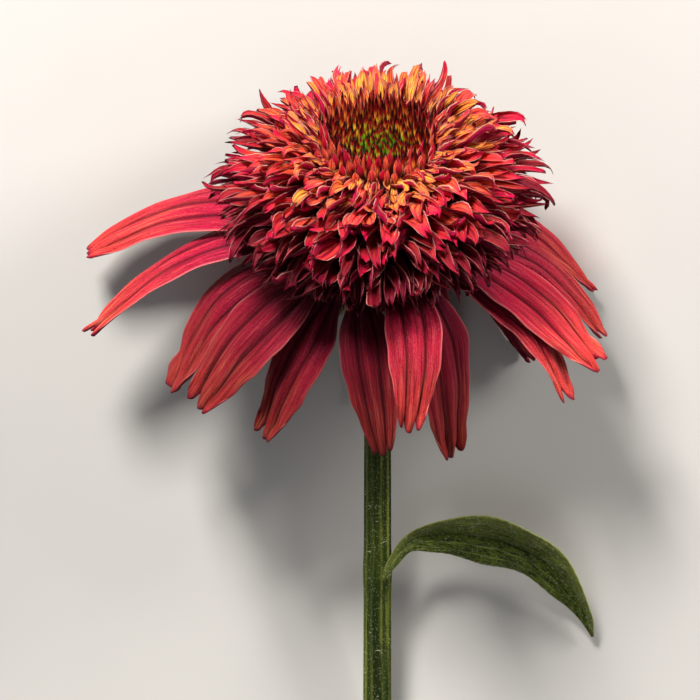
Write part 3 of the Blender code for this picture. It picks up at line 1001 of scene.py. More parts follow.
@dataclass
class Grower:
    """Grows blades and hairs with the two node trees."""

    HAIR_RINGS = ((0.0, 1.0, 0.0), (0.5, 0.7, 0.06), (1.0, 0.08, 0.2))

    blades: BladeTree
    hairs: HairTree

    def grow(self, name: str, blades: Sequence[Blade], outline: BladeOutline,
             material: bpy.types.Material) -> bpy.types.Object:
        """Grow many blades as one object.

        Args:
            name: The object's name.
            blades: The florets or bracts.
            outline: The unit blade.
            material: The finish.

        Returns:
            The object.
        """
        unit = outline.build("unit_blade")
        marks = {f.name: np.array([getattr(b, f.name) for b in blades]) for f in fields(Blade)}
        points = mesh_object(name, marks["root"], [], marks)
        made = self.blades.run(points, name, {"Outline": unit, "Finish": material})
        bpy.data.objects.remove(unit, do_unlink=True)
        return made

    def bristle(self, name: str, skin: bpy.types.Object, hairs: Hairs,
                material: bpy.types.Material) -> bpy.types.Object:
        """Grow the hairs of a skin as one object.

        Args:
            name: The object's name.
            skin: The object that they stand on, which stays.
            hairs: How dense, how long, how leaning and how thick they are.
            material: The finish.

        Returns:
            The object.
        """
        points = [(hairs.radius * size * math.cos(a) + bend,
                   hairs.radius * size * math.sin(a), height)
                  for height, size, bend in self.HAIR_RINGS
                  for a in (0.0, FULL_TURN / 3.0, FULL_TURN / 1.5)]
        faces = [(0, 2, 1), (6, 7, 8)]
        for low in (0, 3):
            for i in range(3):
                j = (i + 1) % 3
                faces.append((low + i, low + j, low + 3 + j, low + 3 + i))
        hair = mesh_object("unit_hair", points, faces)
        copy = bpy.data.objects.new(name, skin.data.copy())
        bpy.context.scene.collection.objects.link(copy)
        made = self.hairs.run(copy, name, {
            "Hair": hair, "Finish": material, "Density": hairs.density / (MM * MM),
            "Least length": hairs.least * MM, "Greatest length": hairs.greatest * MM,
            "Lean": math.radians(hairs.lean), "Seed": hairs.seed})
        bpy.data.objects.remove(hair, do_unlink=True)
        return made


def turned(name: str, profile: Sequence[Pair], segments: int) -> bpy.types.Object:
    """Turn a (radius, height) profile round the bloom's axis.

    Args:
        name: The object's name.
        profile: Points from one pole to the other, both on the axis.
        segments: Steps of the turn.

    Returns:
        The closed solid.
    """
    spots = [polar(0.0, 0.0, profile[0][1])]
    for radius, height in profile[1:-1]:
        spots += [polar(radius, FULL_TURN * k / segments, height) for k in range(segments)]
    spots.append(polar(0.0, 0.0, profile[-1][1]))
    points = set_in_world(spots)
    rows = len(profile) - 2
    end = len(points) - 1
    faces = []
    for k in range(segments):
        n = (k + 1) % segments
        faces.append((0, 1 + k, 1 + n))
        for row in range(rows - 1):
            low, high = 1 + row * segments, 1 + (row + 1) * segments
            faces.append((low + k, high + k, high + n, low + n))
        low = 1 + (rows - 1) * segments
        faces.append((low + k, end, low + n))
    return mesh_object(name, points, faces)


def unit(vectors: np.ndarray) -> np.ndarray:
    """Return vectors, on the last axis, at a length of one."""
    return vectors / np.maximum(np.linalg.norm(vectors, axis=-1, keepdims=True), 1e-12)


def sheet(name: str, points: np.ndarray, grain: np.ndarray, thickness: float,
          marks: dict[str, Any]) -> bpy.types.Object:
    """Close a grid of places into a thin blade with tapered edges.

    Args:
        name: The object's name.
        points: Places in metres, by row along it and column across it.
        grain: (across, along) at each place.
        thickness: In millimetres.
        marks: What the blade carries, by name: one number, or one for each place.

    Returns:
        The closed blade.
    """
    rows, columns = points.shape[:2]
    normal = unit(np.cross(np.gradient(points, axis=0), np.gradient(points, axis=1)))
    row = np.minimum(np.arange(rows), np.arange(rows)[::-1])[:, None]
    column = np.minimum(np.arange(columns), np.arange(columns)[::-1])[None, :]
    inner = ease(np.minimum(row, column) / 2.0)
    taper = EDGE_THINNESS + (1.0 - EDGE_THINNESS) * inner
    offset = normal * (taper * thickness * MM / 2.0)[:, :, None]
    sides = np.concatenate([(points + offset).reshape(-1, 3), (points - offset).reshape(-1, 3)])
    sides[:, 2] = np.maximum(sides[:, 2], np.repeat((thickness * MM * 0.5, 0.0), rows * columns))
    flat = grain.reshape(-1, 2)
    full = np.concatenate([np.c_[flat, np.ones(len(flat))], np.c_[flat, -np.ones(len(flat))]])
    faces = []
    under = rows * columns
    for i in range(rows - 1):
        for j in range(columns - 1):
            a = i * columns + j
            b, c, d = a + 1, a + columns + 1, a + columns
            faces.append((a, d, c, b))
            faces.append((a + under, b + under, c + under, d + under))
            edges = ((j == 0, d, a), (i == rows - 2, c, d),
                     (j == columns - 2, b, c), (i == 0, a, b))
            faces += [(p, q, q + under, p + under) for there, p, q in edges if there]
    carried = {key: np.tile(np.broadcast_to(value, (rows, columns)).ravel(), 2)
               for key, value in marks.items()}
    return mesh_object(name, sides, faces, {"grain": full, **carried})


class TipForm(Enum):
    """How the tip of a petal-like floret ends."""

    POINTED = "pointed"
    SPLIT = "split"
    LOBED = "lobed"


@dataclass
class Cushion:
    """The cushion of petal-like florets round the crater.

    The core and the tips are (radius, height) profiles from the crater to the
    lowest row, and a floret's share is its place along them. A bell gives the
    share where it is highest and its width. The extent and the cup are (least,
    most, usual), and a scatter is (everywhere, more in front, more in the
    middle). A row of odd_florets gives the radius, azimuth and height of the
    root and of the tip, both slopes, the width, cup, twist, share and tint.
    """

    core: tuple[Pair, ...] = (
        (10.9, 9.4), (12.5, 9.0), (14.5, 7.2), (16.3, 4.4), (17.2, 1.0),
        (17.2, -2.5), (15.8, -6.0), (13.0, -9.3), (9.8, -11.8))
    core_foot: tuple[Pair, ...] = ((8.4, -12.6), (0.0, -12.6))
    tips: tuple[Pair, ...] = (
        (12.3, 14.4), (15.8, 16.8), (21.2, 13.6), (26.8, 9.4), (31.0, 4.4),
        (32.6, -0.8), (31.0, -6.0), (26.8, -10.0), (21.0, -12.6))
    root_slopes: tuple[float, ...] = (84.0, 70.0, 48.0, 30.0, 14.0)
    tip_slopes: tuple[float, ...] = (66.0, 12.0, -20.0, -44.0, -60.0)
    crater_radius: float = 10.7
    crater_floor: float = 5.2
    segments: int = 48
    count: int = 1000
    short_count: int = 130
    short_share: float = 0.34
    short_length: float = 0.6
    middle_shortening: float = 0.20
    crowding: float = 1.04
    share_jitter: float = 0.02
    azimuth_jitter: float = 0.09
    height_jitter: float = 0.6
    rise_jitter: float = 16.0
    yaw_jitter: Pair = (0.3, 0.45)
    extent: Triple = (0.55, 1.05, 0.92)
    front_draw: float = 0.12
    fall_scatter: Triple = (15.0, 22.0, 18.0)
    twist_scatter: Triple = (0.5, 0.4, 0.5)
    inner_width: float = 1.7
    outer_width: float = 2.9
    middle_widening: float = 0.85
    width_range: Pair = (0.65, 1.15)
    cup: Triple = (0.8, 2.5, 1.7)
    front_opening: float = 0.5
    tip_forms: Triple = (0.62, 0.2, 0.18)
    thickness: float = 0.36
    frill: float = 0.25
    sink: float = 1.0
    front_bell: Pair = (0.24, 0.16)
    middle_bell: Pair = (0.50, 0.30)
    dip: Pair = (1.2, -4.6)
    dip_share: float = 0.42
    hook_share: float = 0.12
    hook_chance: Pair = (0.25, 0.45)
    hook_turn: Pair = (40.0, 85.0)
    hook_droop: float = 50.0
    warm_azimuth: float = 0.7
    stations: tuple[float, ...] = (0.0, 0.15, 0.3, 0.44, 0.57, 0.69, 0.8, 0.9, 1.0)
    odd_florets: tuple[tuple[float, ...], ...] = (
        (16.0, 6.12, 3.0, 32.6, 6.06, 1.4, 20.0, -70.0, 2.6, 1.5, 0.4, 0.7, 0.1),
        (16.0, 2.62, 5.0, 25.0, 2.60, 13.4, 12.0, 84.0, 2.2, 1.2, 0.3, 0.5, 0.6),
        (15.0, 1.02, 7.0, 24.0, 1.05, 14.0, 30.0, 100.0, 2.4, 1.3, 1.9, 0.3, 0.4),
        (15.0, 3.98, 6.0, 23.5, 4.02, 9.0, 40.0, -50.0, 4.2, 0.7, 0.2, 0.15, 1.0))
    seed: int = 65

    def oddities(self) -> list[Blade]:
        """Return the few florets that stand out of the rest by their form."""
        return [self.bend(polar(*row[:3]), polar(*row[3:6]), row[6:8], row[1], *row[8:])
                for row in self.odd_florets]

    def bend(self, root: Vector, tip: Vector, slopes: Sequence[float], azimuth: float,
             width: float, cup: float, twist: float, share: float, tint: float,
             form: TipForm = TipForm.SPLIT, pull: Pair = (0.36, 0.36), sway: float = 0.0,
             yaw: Pair = (0.0, 0.0)) -> Blade:
        """Bend one floret from its root to its tip.

        Args:
            root: Where it leaves the core, in the bloom's frame.
            tip: Where it ends.
            slopes: How steeply it rises at the root and at the tip, in degrees.
            azimuth: Its place round the axis, in radians.
            width: Its greatest width.
            cup: The angle, in radians, through which its channel is folded.
            twist: How far it turns about its length, in radians.
            share: Its place from the crater, 0, to the lowest row, 1.
            tint: A number of its own, from 0 to 1.
            form: How its tip ends.
            pull: How strongly the root's and the tip's slopes hold.
            sway: How far its tip turns aside, in radians.
            yaw: How its side leans at the root.

        Returns:
            The floret in world axes.
        """
        length = (tip - root).length
        up, down = (math.radians(slope) for slope in slopes)
        first = root + polar(math.cos(up), azimuth, math.sin(up)) * length * pull[0]
        fall = polar(math.cos(down), azimuth + sway, math.sin(down))
        second = tip - fall * length * pull[1]
        return Blade(
            *set_in_world((root, first, second, tip)), sideways(azimuth, yaw),
            width * MM, self.thickness * MM, cup=cup,
            point=0.97 if form is TipForm.POINTED else 0.62,
            lobes=0.10 if form is TipForm.LOBED else 0.0,
            split=0.15 if form is TipForm.SPLIT else 0.0,
            twist=twist, frill=self.frill, share=share, tint=tint)

    def slope(self, slopes: Sequence[float], share: float) -> float:
        """Return the slope at a share, from slopes that are evenly spaced in share."""
        return along([(slope, 0.0) for slope in slopes], share).x

    def scatter(self, widths: Triple, front: float, middle: float) -> float:
        """Return how far a value strays: by itself, and more in front and in the middle."""
        return widths[0] + widths[1] * front + widths[2] * middle

    def blade(self, index: int, rng: random.Random) -> Blade:
        """Shape one floret of the spiral, or one of the short ones near the crater.

        Args:
            index: Its number; the short ones follow all the others.
            rng: The piece's own random numbers.

        Returns:
            The floret in world axes.
        """
        short = index >= self.count
        even = ((index - self.count) / self.short_count * self.short_share if short
                else (index + 0.5) / self.count)
        share = min(1.0, max(0.0, even ** self.crowding + either_way(rng, self.share_jitter)))
        azimuth = index * GOLDEN_ANGLE + either_way(rng, self.azimuth_jitter)
        front, central = (math.exp(-((share - at) / width) ** 2)
                          for at, width in (self.front_bell, self.middle_bell))
        facing = max(0.0, -math.sin(azimuth)) ** 1.5
        middle = facing * central
        full = self.short_length if short else 1.0
        full *= 1.0 - self.middle_shortening * middle
        base = along(self.core, share)
        least, most, usual = self.extent
        extent = full * rng.triangular(least, most, usual - self.front_draw * front)
        reach = base.lerp(along(self.tips, share), extent)
        dip = facing * float(ease((self.dip_share - share) / 0.35))
        reach += Vector(self.dip) * dip
        spread = 0.10 + 0.22 * float(ease(share / 0.3))
        root = polar(base.x - self.sink, azimuth, base.y)
        tip_azimuth = azimuth + rng.gauss(0.0, 0.4) * spread
        tip = polar(reach.x, tip_azimuth, reach.y + either_way(rng, self.height_jitter))
        rise = self.slope(self.root_slopes, share) + either_way(rng, self.rise_jitter)
        fall = self.slope(self.tip_slopes, share)
        fall += rng.gauss(0.0, self.scatter(self.fall_scatter, front, middle))
        chance, in_middle = self.hook_chance
        if share > self.hook_share and rng.random() < chance + in_middle * middle:
            turn = rng.choice((-1.0, 1.0)) * rng.uniform(*self.hook_turn)
            fall += turn + self.hook_droop * middle
        widest = self.outer_width * (1.0 + self.middle_widening * middle)
        width = self.inner_width + (widest - self.inner_width) * float(ease(share / 0.35))
        form = rng.choices(tuple(TipForm), self.tip_forms)[0]
        warm = share < 0.4 and math.cos(azimuth - self.warm_azimuth) > 0.7
        width *= rng.uniform(*self.width_range)
        least, most, usual = self.cup
        cup = rng.triangular(least, most, usual - self.front_opening * front)
        twist = rng.gauss(0.0, self.scatter(self.twist_scatter, front, middle))
        tint = (1.0 if warm else 0.8) * rng.random()
        pull = (rng.uniform(0.3, 0.42), rng.uniform(0.28, 0.5))
        sway = rng.gauss(0.0, 1.6 + 1.2 * front) * spread
        yaw = tuple(either_way(rng, most) for most in self.yaw_jitter)
        return self.bend(root, tip, (rise, fall), azimuth, width, cup, twist, share, tint,
                         form, pull, sway, yaw)

    def build(self, grower: Grower) -> None:
        """Build the core and the florets that cover it.

        Args:
            grower: Makes the florets, bracts and hairs.
        """
        profile = ((0.0, self.crater_floor), (self.crater_radius, self.crater_floor),
                   *self.core, *self.core_foot)
        core = turned("cushion_core", profile[::-1], self.segments)
        # Near-black crimson: painted shade in the gaps between the florets.
        dark = PlainFinish("cushion_core", hue("3a0008"), hue("140002"), scale=900.0, relief=0.3)
        dress(core, dark.build(), "coral_petaloids")
        rng = random.Random(self.seed)
        blades = [self.blade(index, rng) for index in range(self.count + self.short_count)]
        outline = BladeOutline(Section.STRAP, self.stations)
        finish = PetaloidFinish().build()
        florets = grower.grow("petaloid_cushion", blades + self.oddities(), outline, finish)
        dress(florets, finish, "coral_petaloids", "petaloid_florets")


@dataclass
class Crater:
    """The disc florets of the crater and the rings of short buds round them.

    A row of buds gives their number, the radius of their feet, the height of
    their tips and their width.
    """

    radius: float = 10.4
    foot: float = 5.5
    rim_height: float = 7.6
    floor_radius: float = 9.8
    floor: float = 8.2
    segments: int = 48
    count: int = 310
    reach: float = 10.3
    middle_height: float = 11.2
    edge_height: float = 15.8
    near_drop: float = 2.2
    root_depth: float = 0.4
    spike_jitter: float = 0.3
    bud_jitter: float = 0.4
    bud_spacing_jitter: float = 0.35
    rim_scatter: Pair = (-1.1, 0.9)
    spike_tops: Pair = (-0.9, 0.8)
    spike_leans: Pair = (-0.7, 0.5)
    spike_widths: Pair = (0.8, 1.15)
    bud_tops: Pair = (-1.3, 1.0)
    bud_leans: Pair = (-0.8, 0.4)
    bud_widths: Pair = (0.8, 1.2)
    bud_cups: Pair = (1.8, 2.6)
    width: float = 0.66
    point: float = 0.88
    bud_thickness: float = 0.3
    bud_rows: tuple[tuple[int, float, float, float], ...] = (
        (28, 9.8, 14.4, 2.0), (28, 10.8, 14.4, 2.5), (30, 11.8, 13.8, 2.7), (32, 12.8, 12.9, 2.7))
    shaft_stations: tuple[float, ...] = (0.0, 0.35, 0.6, 0.78, 0.9, 1.0)
    bud_stations: tuple[float, ...] = (0.0, 0.3, 0.5, 0.66, 0.8, 0.91, 1.0)
    seed: int = 7

    def shaft(self, radius: float, azimuth: float, foot: float, top: float, width: float,
              lean: float, share: float, tint: float, cup: float = 0.0) -> Blade:
        """Shape one upright floret.

        Args:
            radius: Distance of its foot from the axis.
            azimuth: Its place round the axis, in radians.
            foot: Height of its foot.
            top: Height of its tip.
            width: Its width.
            lean: How far its tip lies outwards from its foot.
            share: Its place from the middle, 0, to the rim, 1.
            tint: A number of its own, from 0 to 1.
            cup: How far it is folded, in radians; a round floret isn't.

        Returns:
            The floret in world axes.
        """
        points = [polar(radius + lean * part ** 2, azimuth, foot + (top - foot) * part)
                  for part in (0.0, 0.33, 0.67, 1.0)]
        depth = self.bud_thickness if cup else width
        return Blade(*set_in_world(points), sideways(azimuth), width * MM, depth * MM,
                     cup=cup, point=self.point, share=share, tint=tint)

    def spikes(self, rng: random.Random) -> list[Blade]:
        """Shape the disc florets.

        Args:
            rng: The piece's own random numbers.

        Returns:
            The florets, in a spiral.
        """
        made = []
        for index in range(self.count):
            share = math.sqrt((index + 0.5) / self.count)
            azimuth = index * GOLDEN_ANGLE
            rim = self.edge_height - self.near_drop * max(0.0, -math.sin(azimuth))
            top = self.middle_height + (rim - self.middle_height) * share ** 2
            radius = self.reach * share + either_way(rng, self.spike_jitter)
            radius += rng.uniform(*self.rim_scatter) * share ** 6
            made.append(self.shaft(
                radius, azimuth, self.floor - self.root_depth,
                top + rng.uniform(*self.spike_tops),
                self.width * rng.uniform(*self.spike_widths),
                rng.uniform(*self.spike_leans), share, rng.random()))
        return made

    def buds(self, rng: random.Random) -> list[Blade]:
        """Shape the short closed florets.

        Args:
            rng: The piece's own random numbers.

        Returns:
            The florets, ring by ring.
        """
        made = []
        for row, (count, radius, top, width) in enumerate(self.bud_rows):
            for k in range(count):
                place = radius + either_way(rng, self.bud_jitter)
                step = k + 0.5 * row + either_way(rng, self.bud_spacing_jitter)
                azimuth = FULL_TURN * step / count
                made.append(self.shaft(
                    place, azimuth, self.floor, top + rng.uniform(*self.bud_tops),
                    width * rng.uniform(*self.bud_widths), rng.uniform(*self.bud_leans), 1.0,
                    rng.random(), rng.uniform(*self.bud_cups)))
        return made

    def build(self, grower: Grower) -> None:
        """Build the floor, the disc florets and the buds.

        Args:
            grower: Makes the florets, bracts and hairs.
        """
        profile = ((0.0, self.foot), (self.radius, self.foot), (self.radius, self.rim_height),
                   (self.floor_radius, self.floor), (0.0, self.floor))
        floor = turned("crater_floor", profile, self.segments)
        moss = PlainFinish("crater_floor", hue("2f3a10"), hue("0e1204"), scale=1200.0, relief=0.3)
        dress(floor, moss.build(), "disc_green_and_red")
        rng = random.Random(self.seed)
        spikes, buds = self.spikes(rng), self.buds(rng)
        outline = BladeOutline(Section.SHAFT, self.shaft_stations)
        finish = DiscFinish().build()
        florets = grower.grow("disc_florets_fine", spikes, outline, finish)
        dress(florets, finish, "disc_green_and_red", "disc_florets")
        hood = BladeOutline(Section.STRAP, self.bud_stations)
        finish = BudFinish().build()
        dress(grower.grow("crater_buds", buds, hood, finish), finish, "coral_petaloids")


@dataclass
class Involucre:
    """The green cup under the bloom with its rows of bracts.

    A row gives the number of bracts, the radius and the height of their roots,
    their length and their droop in degrees.
    """

    profile: tuple[Pair, ...] = (
        (0.0, -12.9), (8.6, -12.9), (9.0, -13.4), (9.0, -15.2), (7.4, -17.2),
        (4.4, -19.1), (2.7, -19.9), (0.0, -19.9))
    rows: tuple[tuple[int, float, float, float, float], ...] = (
        (14, 8.2, -16.6, 6.8, -42.0), (14, 7.4, -17.4, 6.4, -52.0), (13, 6.0, -18.2, 6.0, -62.0))
    segments: int = 48
    sink: float = 1.4
    width: float = 2.4
    thickness: float = 0.5
    cup: float = 0.3
    azimuth_jitter: float = 0.05
    droop_jitter: float = 8.0
    width_range: Pair = (0.85, 1.1)
    stations: tuple[float, ...] = (0.0, 0.2, 0.4, 0.6, 0.8, 1.0)
    seed: int = 12

    def bracts(self) -> list[Blade]:
        """Shape the bracts.

        Returns:
            The bracts, the outermost row first.
        """
        rng = random.Random(self.seed)
        made = []
        for number, (count, radius, height, length, droop) in enumerate(self.rows):
            for k in range(count):
                azimuth = FULL_TURN * (k + 0.5 * number) / count
                azimuth += either_way(rng, self.azimuth_jitter)
                fall = math.radians(droop + either_way(rng, self.droop_jitter))
                root = polar(radius - self.sink, azimuth, height)
                tip = polar(radius + length * math.cos(fall), azimuth,
                            height + length * math.sin(fall))
                first = root + polar(length * 0.4, azimuth, -0.4)
                second = tip - polar(length * 0.25, azimuth, -length * 0.25)
                width = self.width * rng.uniform(*self.width_range) * MM
                made.append(Blade(
                    *set_in_world((root, first, second, tip)), sideways(azimuth), width,
                    self.thickness * MM, cup=self.cup, share=1.0, tint=rng.random()))
        return made

    def build(self, grower: Grower) -> None:
        """Build the cup and its bracts.

        Args:
            grower: Makes the florets, bracts and hairs.
        """
        cup = turned("involucre_cup", self.profile[::-1], self.segments)
        green = PlainFinish("cup_green", hue("5f7a2c"), hue("33491a"), scale=500.0, relief=0.15)
        dress(cup, green.build(), "bract_green")
        outline = BladeOutline(Section.STRAP, self.stations)
        finish = GreenFinish(
            "bract_skin", hue("7d9440"), hue("2c4018"), hue("58702c"), ribs=1.5).build()
        bracts = grower.grow("involucre_leaves", self.bracts(), outline, finish)
        dress(bracts, finish, "bract_green", "involucre_bracts")


@dataclass(frozen=True)
class Ray:
    """How one ray grows: where it starts, how it bends, its size, and the painted light and shade
    that scale its whole colour.
    """

    azimuth: float
    lift: float
    tip_azimuth: float
    tip_droop: float
    bend_lateness: float
    length: float
    width: float
    roll: float
    raised: float = 0.0
    sweep: float = 0.0
    # Painted light and shade: the whole ray's colour is multiplied by it.
    tone: float = 1.0
    hook: float = 0.0


# A row's eleventh number is the ray's painted light and shade, which multiplies its colour.
RAYS = (
    Ray(14.0, 12.4, -11.0, -58.2, 1.6, 42.6, 11.7, 6.6, 0.1, 2.0, 1.2),
    Ray(35.5, 12.0, -14.7, -55.5, 1.3, 42.7, 11.2, 10.7, 0.2, 4.5, 1.15),
    Ray(55.0, -12.0, -38.0, -57.0, 2.3, 42.0, 10.6, 0.0),
    Ray(75.0, -19.0, -56.0, -64.0, 2.8, 42.0, 9.6, 0.0),
    Ray(94.0, -20.0, 272.0, -68.0, 3.1, 42.0, 9.0, 0.0),
    Ray(113.0, -18.0, 232.0, -63.0, 2.7, 42.0, 9.6, 0.0),
    Ray(133.0, -9.0, 210.0, -55.0, 2.1, 42.0, 10.8, 0.0),
    Ray(152.4, 18.6, 187.7, -33.4, 1.2, 49.9, 13.2, -3.2, 0.2, -2.9, 1.35),
    Ray(171.3, 16.9, 194.1, -43.1, 1.6, 50.8, 11.9, 11.9, 0.4, -4.3, 1.35),
    Ray(196.0, 1.3, 203.5, -63.2, 1.4, 40.7, 12.9, -1.3, 0.1, -15.9, 0.7, -2.6),
    Ray(212.0, -2.7, 213.2, -53.2, 1.5, 37.1, 14.0, -13.2, 0.3, 1.7, 0.6),
    Ray(229.4, -18.6, 213.4, -70.5, 1.6, 34.2, 10.9, -2.1, -0.4, 2.9, 0.55),
    Ray(254.9, 7.5, 302.0, -63.6, 2.3, 35.2, 10.2, 12.4, 0.6, 6.6, 0.38),
    Ray(286.7, 27.4, 257.1, -67.2, 1.3, 36.4, 10.1, -5.9, 0.5, 2.1, 0.95),
    Ray(305.0, 7.6, 298.5, -88.8, 2.6, 40.4, 11.8, -5.5, 0.6, -3.0, 0.6),
    Ray(336.1, 1.4, 327.8, -55.9, 1.5, 38.9, 11.1, -8.9, -0.4, 16.9, 1.2),
    Ray(350.0, 9.5, 333.1, -45.0, 1.9, 39.3, 13.2, 6.4, 0.5, 0.3, 1.4),
)


@dataclass
class RayFloret:
    """One ray of the skirt: ridged, veined and toothed."""

    number: int
    ray: Ray
    rows: int = 84
    columns: int = 45
    start_radius: float = 9.0
    start_height: float = -14.3
    bend_steps: int = 24
    claw: float = 0.22
    full_share: float = 0.42
    narrow: float = 0.5
    narrow_from: float = 0.45
    thickness: float = 0.34
    teeth_from: float = 0.62
    tooth_depth: float = 1.6
    curl_from: float = 0.91
    hook_from: float = 0.88
    shoulder: float = 2.2
    uneven: float = 0.35
    row_crowding: float = 0.92
    edge_waves: Pair = (0.02, 0.015)
    ridge: float = 0.75
    camber: float = 0.85
    fold_height: float = 0.05
    wave_height: float = 0.30
    crimp_height: float = 0.10
    lip_height: float = 0.45
    lip_range: Pair = (-0.3, 0.5)
    tooth_curls: Pair = (-0.7, 1.2)
    table_gap: float = 0.3
    press: float = 0.04
    broad_grooves: tuple[float, ...] = (-0.34, 0.34)
    fine_grooves: tuple[float, ...] = (-0.80, -0.57, -0.14, 0.10, 0.55, 0.78)

    def heading(self, azimuth: float, lift: float) -> np.ndarray:
        """Turn two angles into a direction.

        Args:
            azimuth: Angle round the bloom's axis, in degrees.
            lift: Angle above its plane, in degrees.

        Returns:
            A unit vector.
        """
        turn, rise = math.radians(azimuth), math.radians(lift)
        level = math.cos(rise)
        return np.array((math.cos(turn) * level, math.sin(turn) * level, math.sin(rise)))

    def frames(self) -> tuple[np.ndarray, np.ndarray, np.ndarray]:
        """Walk along the bent middle line.

        Returns:
            Places, headings and side vectors along it.
        """
        ray = self.ray
        start = self.heading(ray.azimuth, ray.lift)
        end = self.heading(ray.tip_azimuth, ray.tip_droop)
        place = np.array(polar(
            self.start_radius, math.radians(ray.azimuth), self.start_height + ray.raised))
        side = unit(np.cross((0.0, 0.0, 1.0), start))
        places, ways, sides = [place], [start], [side]
        for index in range(self.bend_steps):
            share = (index + 0.5) / self.bend_steps
            way = unit(start + (end - start) * (1.0 - (1.0 - share) ** ray.bend_lateness))
            side = unit(side - way * side.dot(way))
            aside = math.radians(ray.sweep) * math.cos(math.pi * share)
            ahead = unit(way + side * aside)
            place = place + ahead * (ray.length / self.bend_steps)
            places.append(place)
            ways.append(ahead)
            sides.append(side)
        return np.array(places), np.array(ways), np.array(sides)

    def relief(self, u: np.ndarray, v: np.ndarray,
               rng: np.random.Generator) -> tuple[np.ndarray, np.ndarray]:
        """Lay out the grooves and the clefts between the teeth.

        Args:
            u: Places across, from -1 to 1.
            v: Places along, from 0 to 1.
            rng: The piece's own random numbers.

        Returns:
            How deep the grooves and the clefts are.
        """
        drift = 0.05 * np.sin(v * 5.0 + rng.uniform(0.0, 6.0))
        deep = np.zeros_like(u)
        cleft = np.zeros_like(u)
        for centre in self.broad_grooves:
            at = centre + rng.uniform(-0.04, 0.04)
            deep = deep + np.exp(-(np.abs((u - at - drift) / 0.13) ** 1.3))
            cleft = cleft + np.exp(-((u - at) / 0.06) ** 2) * rng.uniform(0.5, 1.1)
        for centre in self.fine_grooves:
            at = centre + rng.uniform(-0.05, 0.05)
            start = ease((v - rng.uniform(0.0, 0.3)) / 0.2)
            fade = start * ease((rng.uniform(0.85, 1.2) - v) / 0.25)
            line = np.exp(-(np.abs((u - at - drift * 0.6) / 0.045) ** 1.3))
            deep = deep + rng.uniform(0.15, 0.5) * fade * line
        return np.clip(deep, 0.0, 1.0), cleft

    def past(self, v: np.ndarray, start: float) -> np.ndarray:
        """Return a smooth step along the ray, 0 at a start and 1 at the tip."""
        return ease((v - start) / (1.0 - start))

    def axes(self, drawn: np.ndarray, v: np.ndarray) -> tuple[np.ndarray, np.ndarray, np.ndarray]:
        """Set out the middle line under each point of the sheet.

        Args:
            drawn: Places along, drawn back between the teeth.
            v: Places along, from 0 to 1.

        Returns:
            Places on the line, side vectors and upward vectors.
        """
        shares = np.linspace(0.0, 1.0, self.bend_steps + 1)
        place, way, side = (
            np.stack([np.interp(drawn, shares, values[:, k]) for k in range(3)], axis=-1)
            for values in self.frames())
        way = unit(way)
        side = unit(side - way * np.sum(side * way, axis=2, keepdims=True))
        roll = math.radians(self.ray.roll) * ease(v)[:, :, None]
        side = side * np.cos(roll) + np.cross(way, side) * np.sin(roll)
        return place, side, np.cross(way, side)

    def rise(self, u: np.ndarray, v: np.ndarray, deep: np.ndarray, spread: np.ndarray,
             rng: np.random.Generator) -> np.ndarray:
        """Shape the sheet across: grooves, camber, waves, lip and curled teeth.

        Args:
            u: Places across, from -1 to 1.
            v: Places along, from 0 to 1.
            deep: How deep the grooves are.
            spread: How wide the ray is, from 0 to 1.
            rng: The piece's own random numbers.

        Returns:
            How far the sheet stands above the middle line.
        """
        out = np.abs(u)
        phases = rng.uniform(0.0, 6.0, 6)
        strength = self.ridge * (0.7 + 0.9 * self.past(v, 0.64)) * ease(v / 0.25)
        folds = np.sin(u * 17.0 + phases[0] + 0.6 * np.sin(v * 7.0)) * ease(v / 0.2)
        waves = np.sin(v * 8.0 + phases[1] + u * 2.0) * out ** 1.5
        crimps = np.sin(v * 21.0 + phases[2] - u * 3.0) * ease((v - 0.3) / 0.3)
        lip = np.exp(-((1.0 - out) / 0.05)) * rng.uniform(*self.lip_range) * spread
        curls = rng.uniform(*self.tooth_curls, 3)
        tooth = np.select([u < -1.0 / 3.0, u > 1.0 / 3.0], [curls[0], curls[2]], curls[1])
        return (-strength * deep - self.camber * spread * u * u + self.fold_height * folds
                + self.wave_height * waves + self.crimp_height * crimps + self.lip_height * lip
                + tooth * self.past(v, self.curl_from))

    def surface(self) -> tuple[np.ndarray, np.ndarray, np.ndarray]:
        """Shape the middle sheet.

        Returns:
            Its places in metres, their grain and how deep their grooves are.
        """
        ray = self.ray
        rng = np.random.default_rng(100 + self.number)
        v, u = np.meshgrid(np.linspace(0.0, 1.0, self.rows) ** self.row_crowding,
                           np.linspace(-1.0, 1.0, self.columns), indexing="ij")
        out = np.abs(u)
        deep, cleft = self.relief(u, v, rng)
        uneven = self.uneven * np.sin(u * 4.0 + rng.uniform(0.0, 6.0))
        pointed = np.abs((u * 1.5 + 0.5) % 1.0 - 0.5) * 2.0
        cut = self.tooth_depth * (cleft + 0.6 * pointed ** 1.3) + uneven
        cut = cut + self.shoulder * out ** 3.0
        drawn = v - self.past(v, self.teeth_from) * cut / ray.length
        place, side, upward = self.axes(drawn, v)
        taper = np.clip((v - self.narrow_from) / (1.0 - self.narrow_from), 0.0, 1.0) ** 1.8
        spread = self.claw + (1.0 - self.claw) * ease(v / self.full_share)
        spread = spread * (1.0 - (1.0 - self.narrow) * taper)
        fine, broad = self.edge_waves
        edge = 1.0 + (fine * np.sin(v * 31.0 + rng.uniform(0.0, 6.0))
                      + broad * np.sin(v * 13.0 + rng.uniform(0.0, 6.0))) * out ** 3
        rise = self.rise(u, v, deep, spread, rng)
        outer = ease((np.sign(ray.hook) * u - 0.33) / 0.3)
        hooked = ray.hook * self.past(v, self.hook_from) * outer
        half = (u * edge * spread * ray.width / 2.0 + hooked)[:, :, None]
        local = place + side * half + upward * rise[:, :, None]
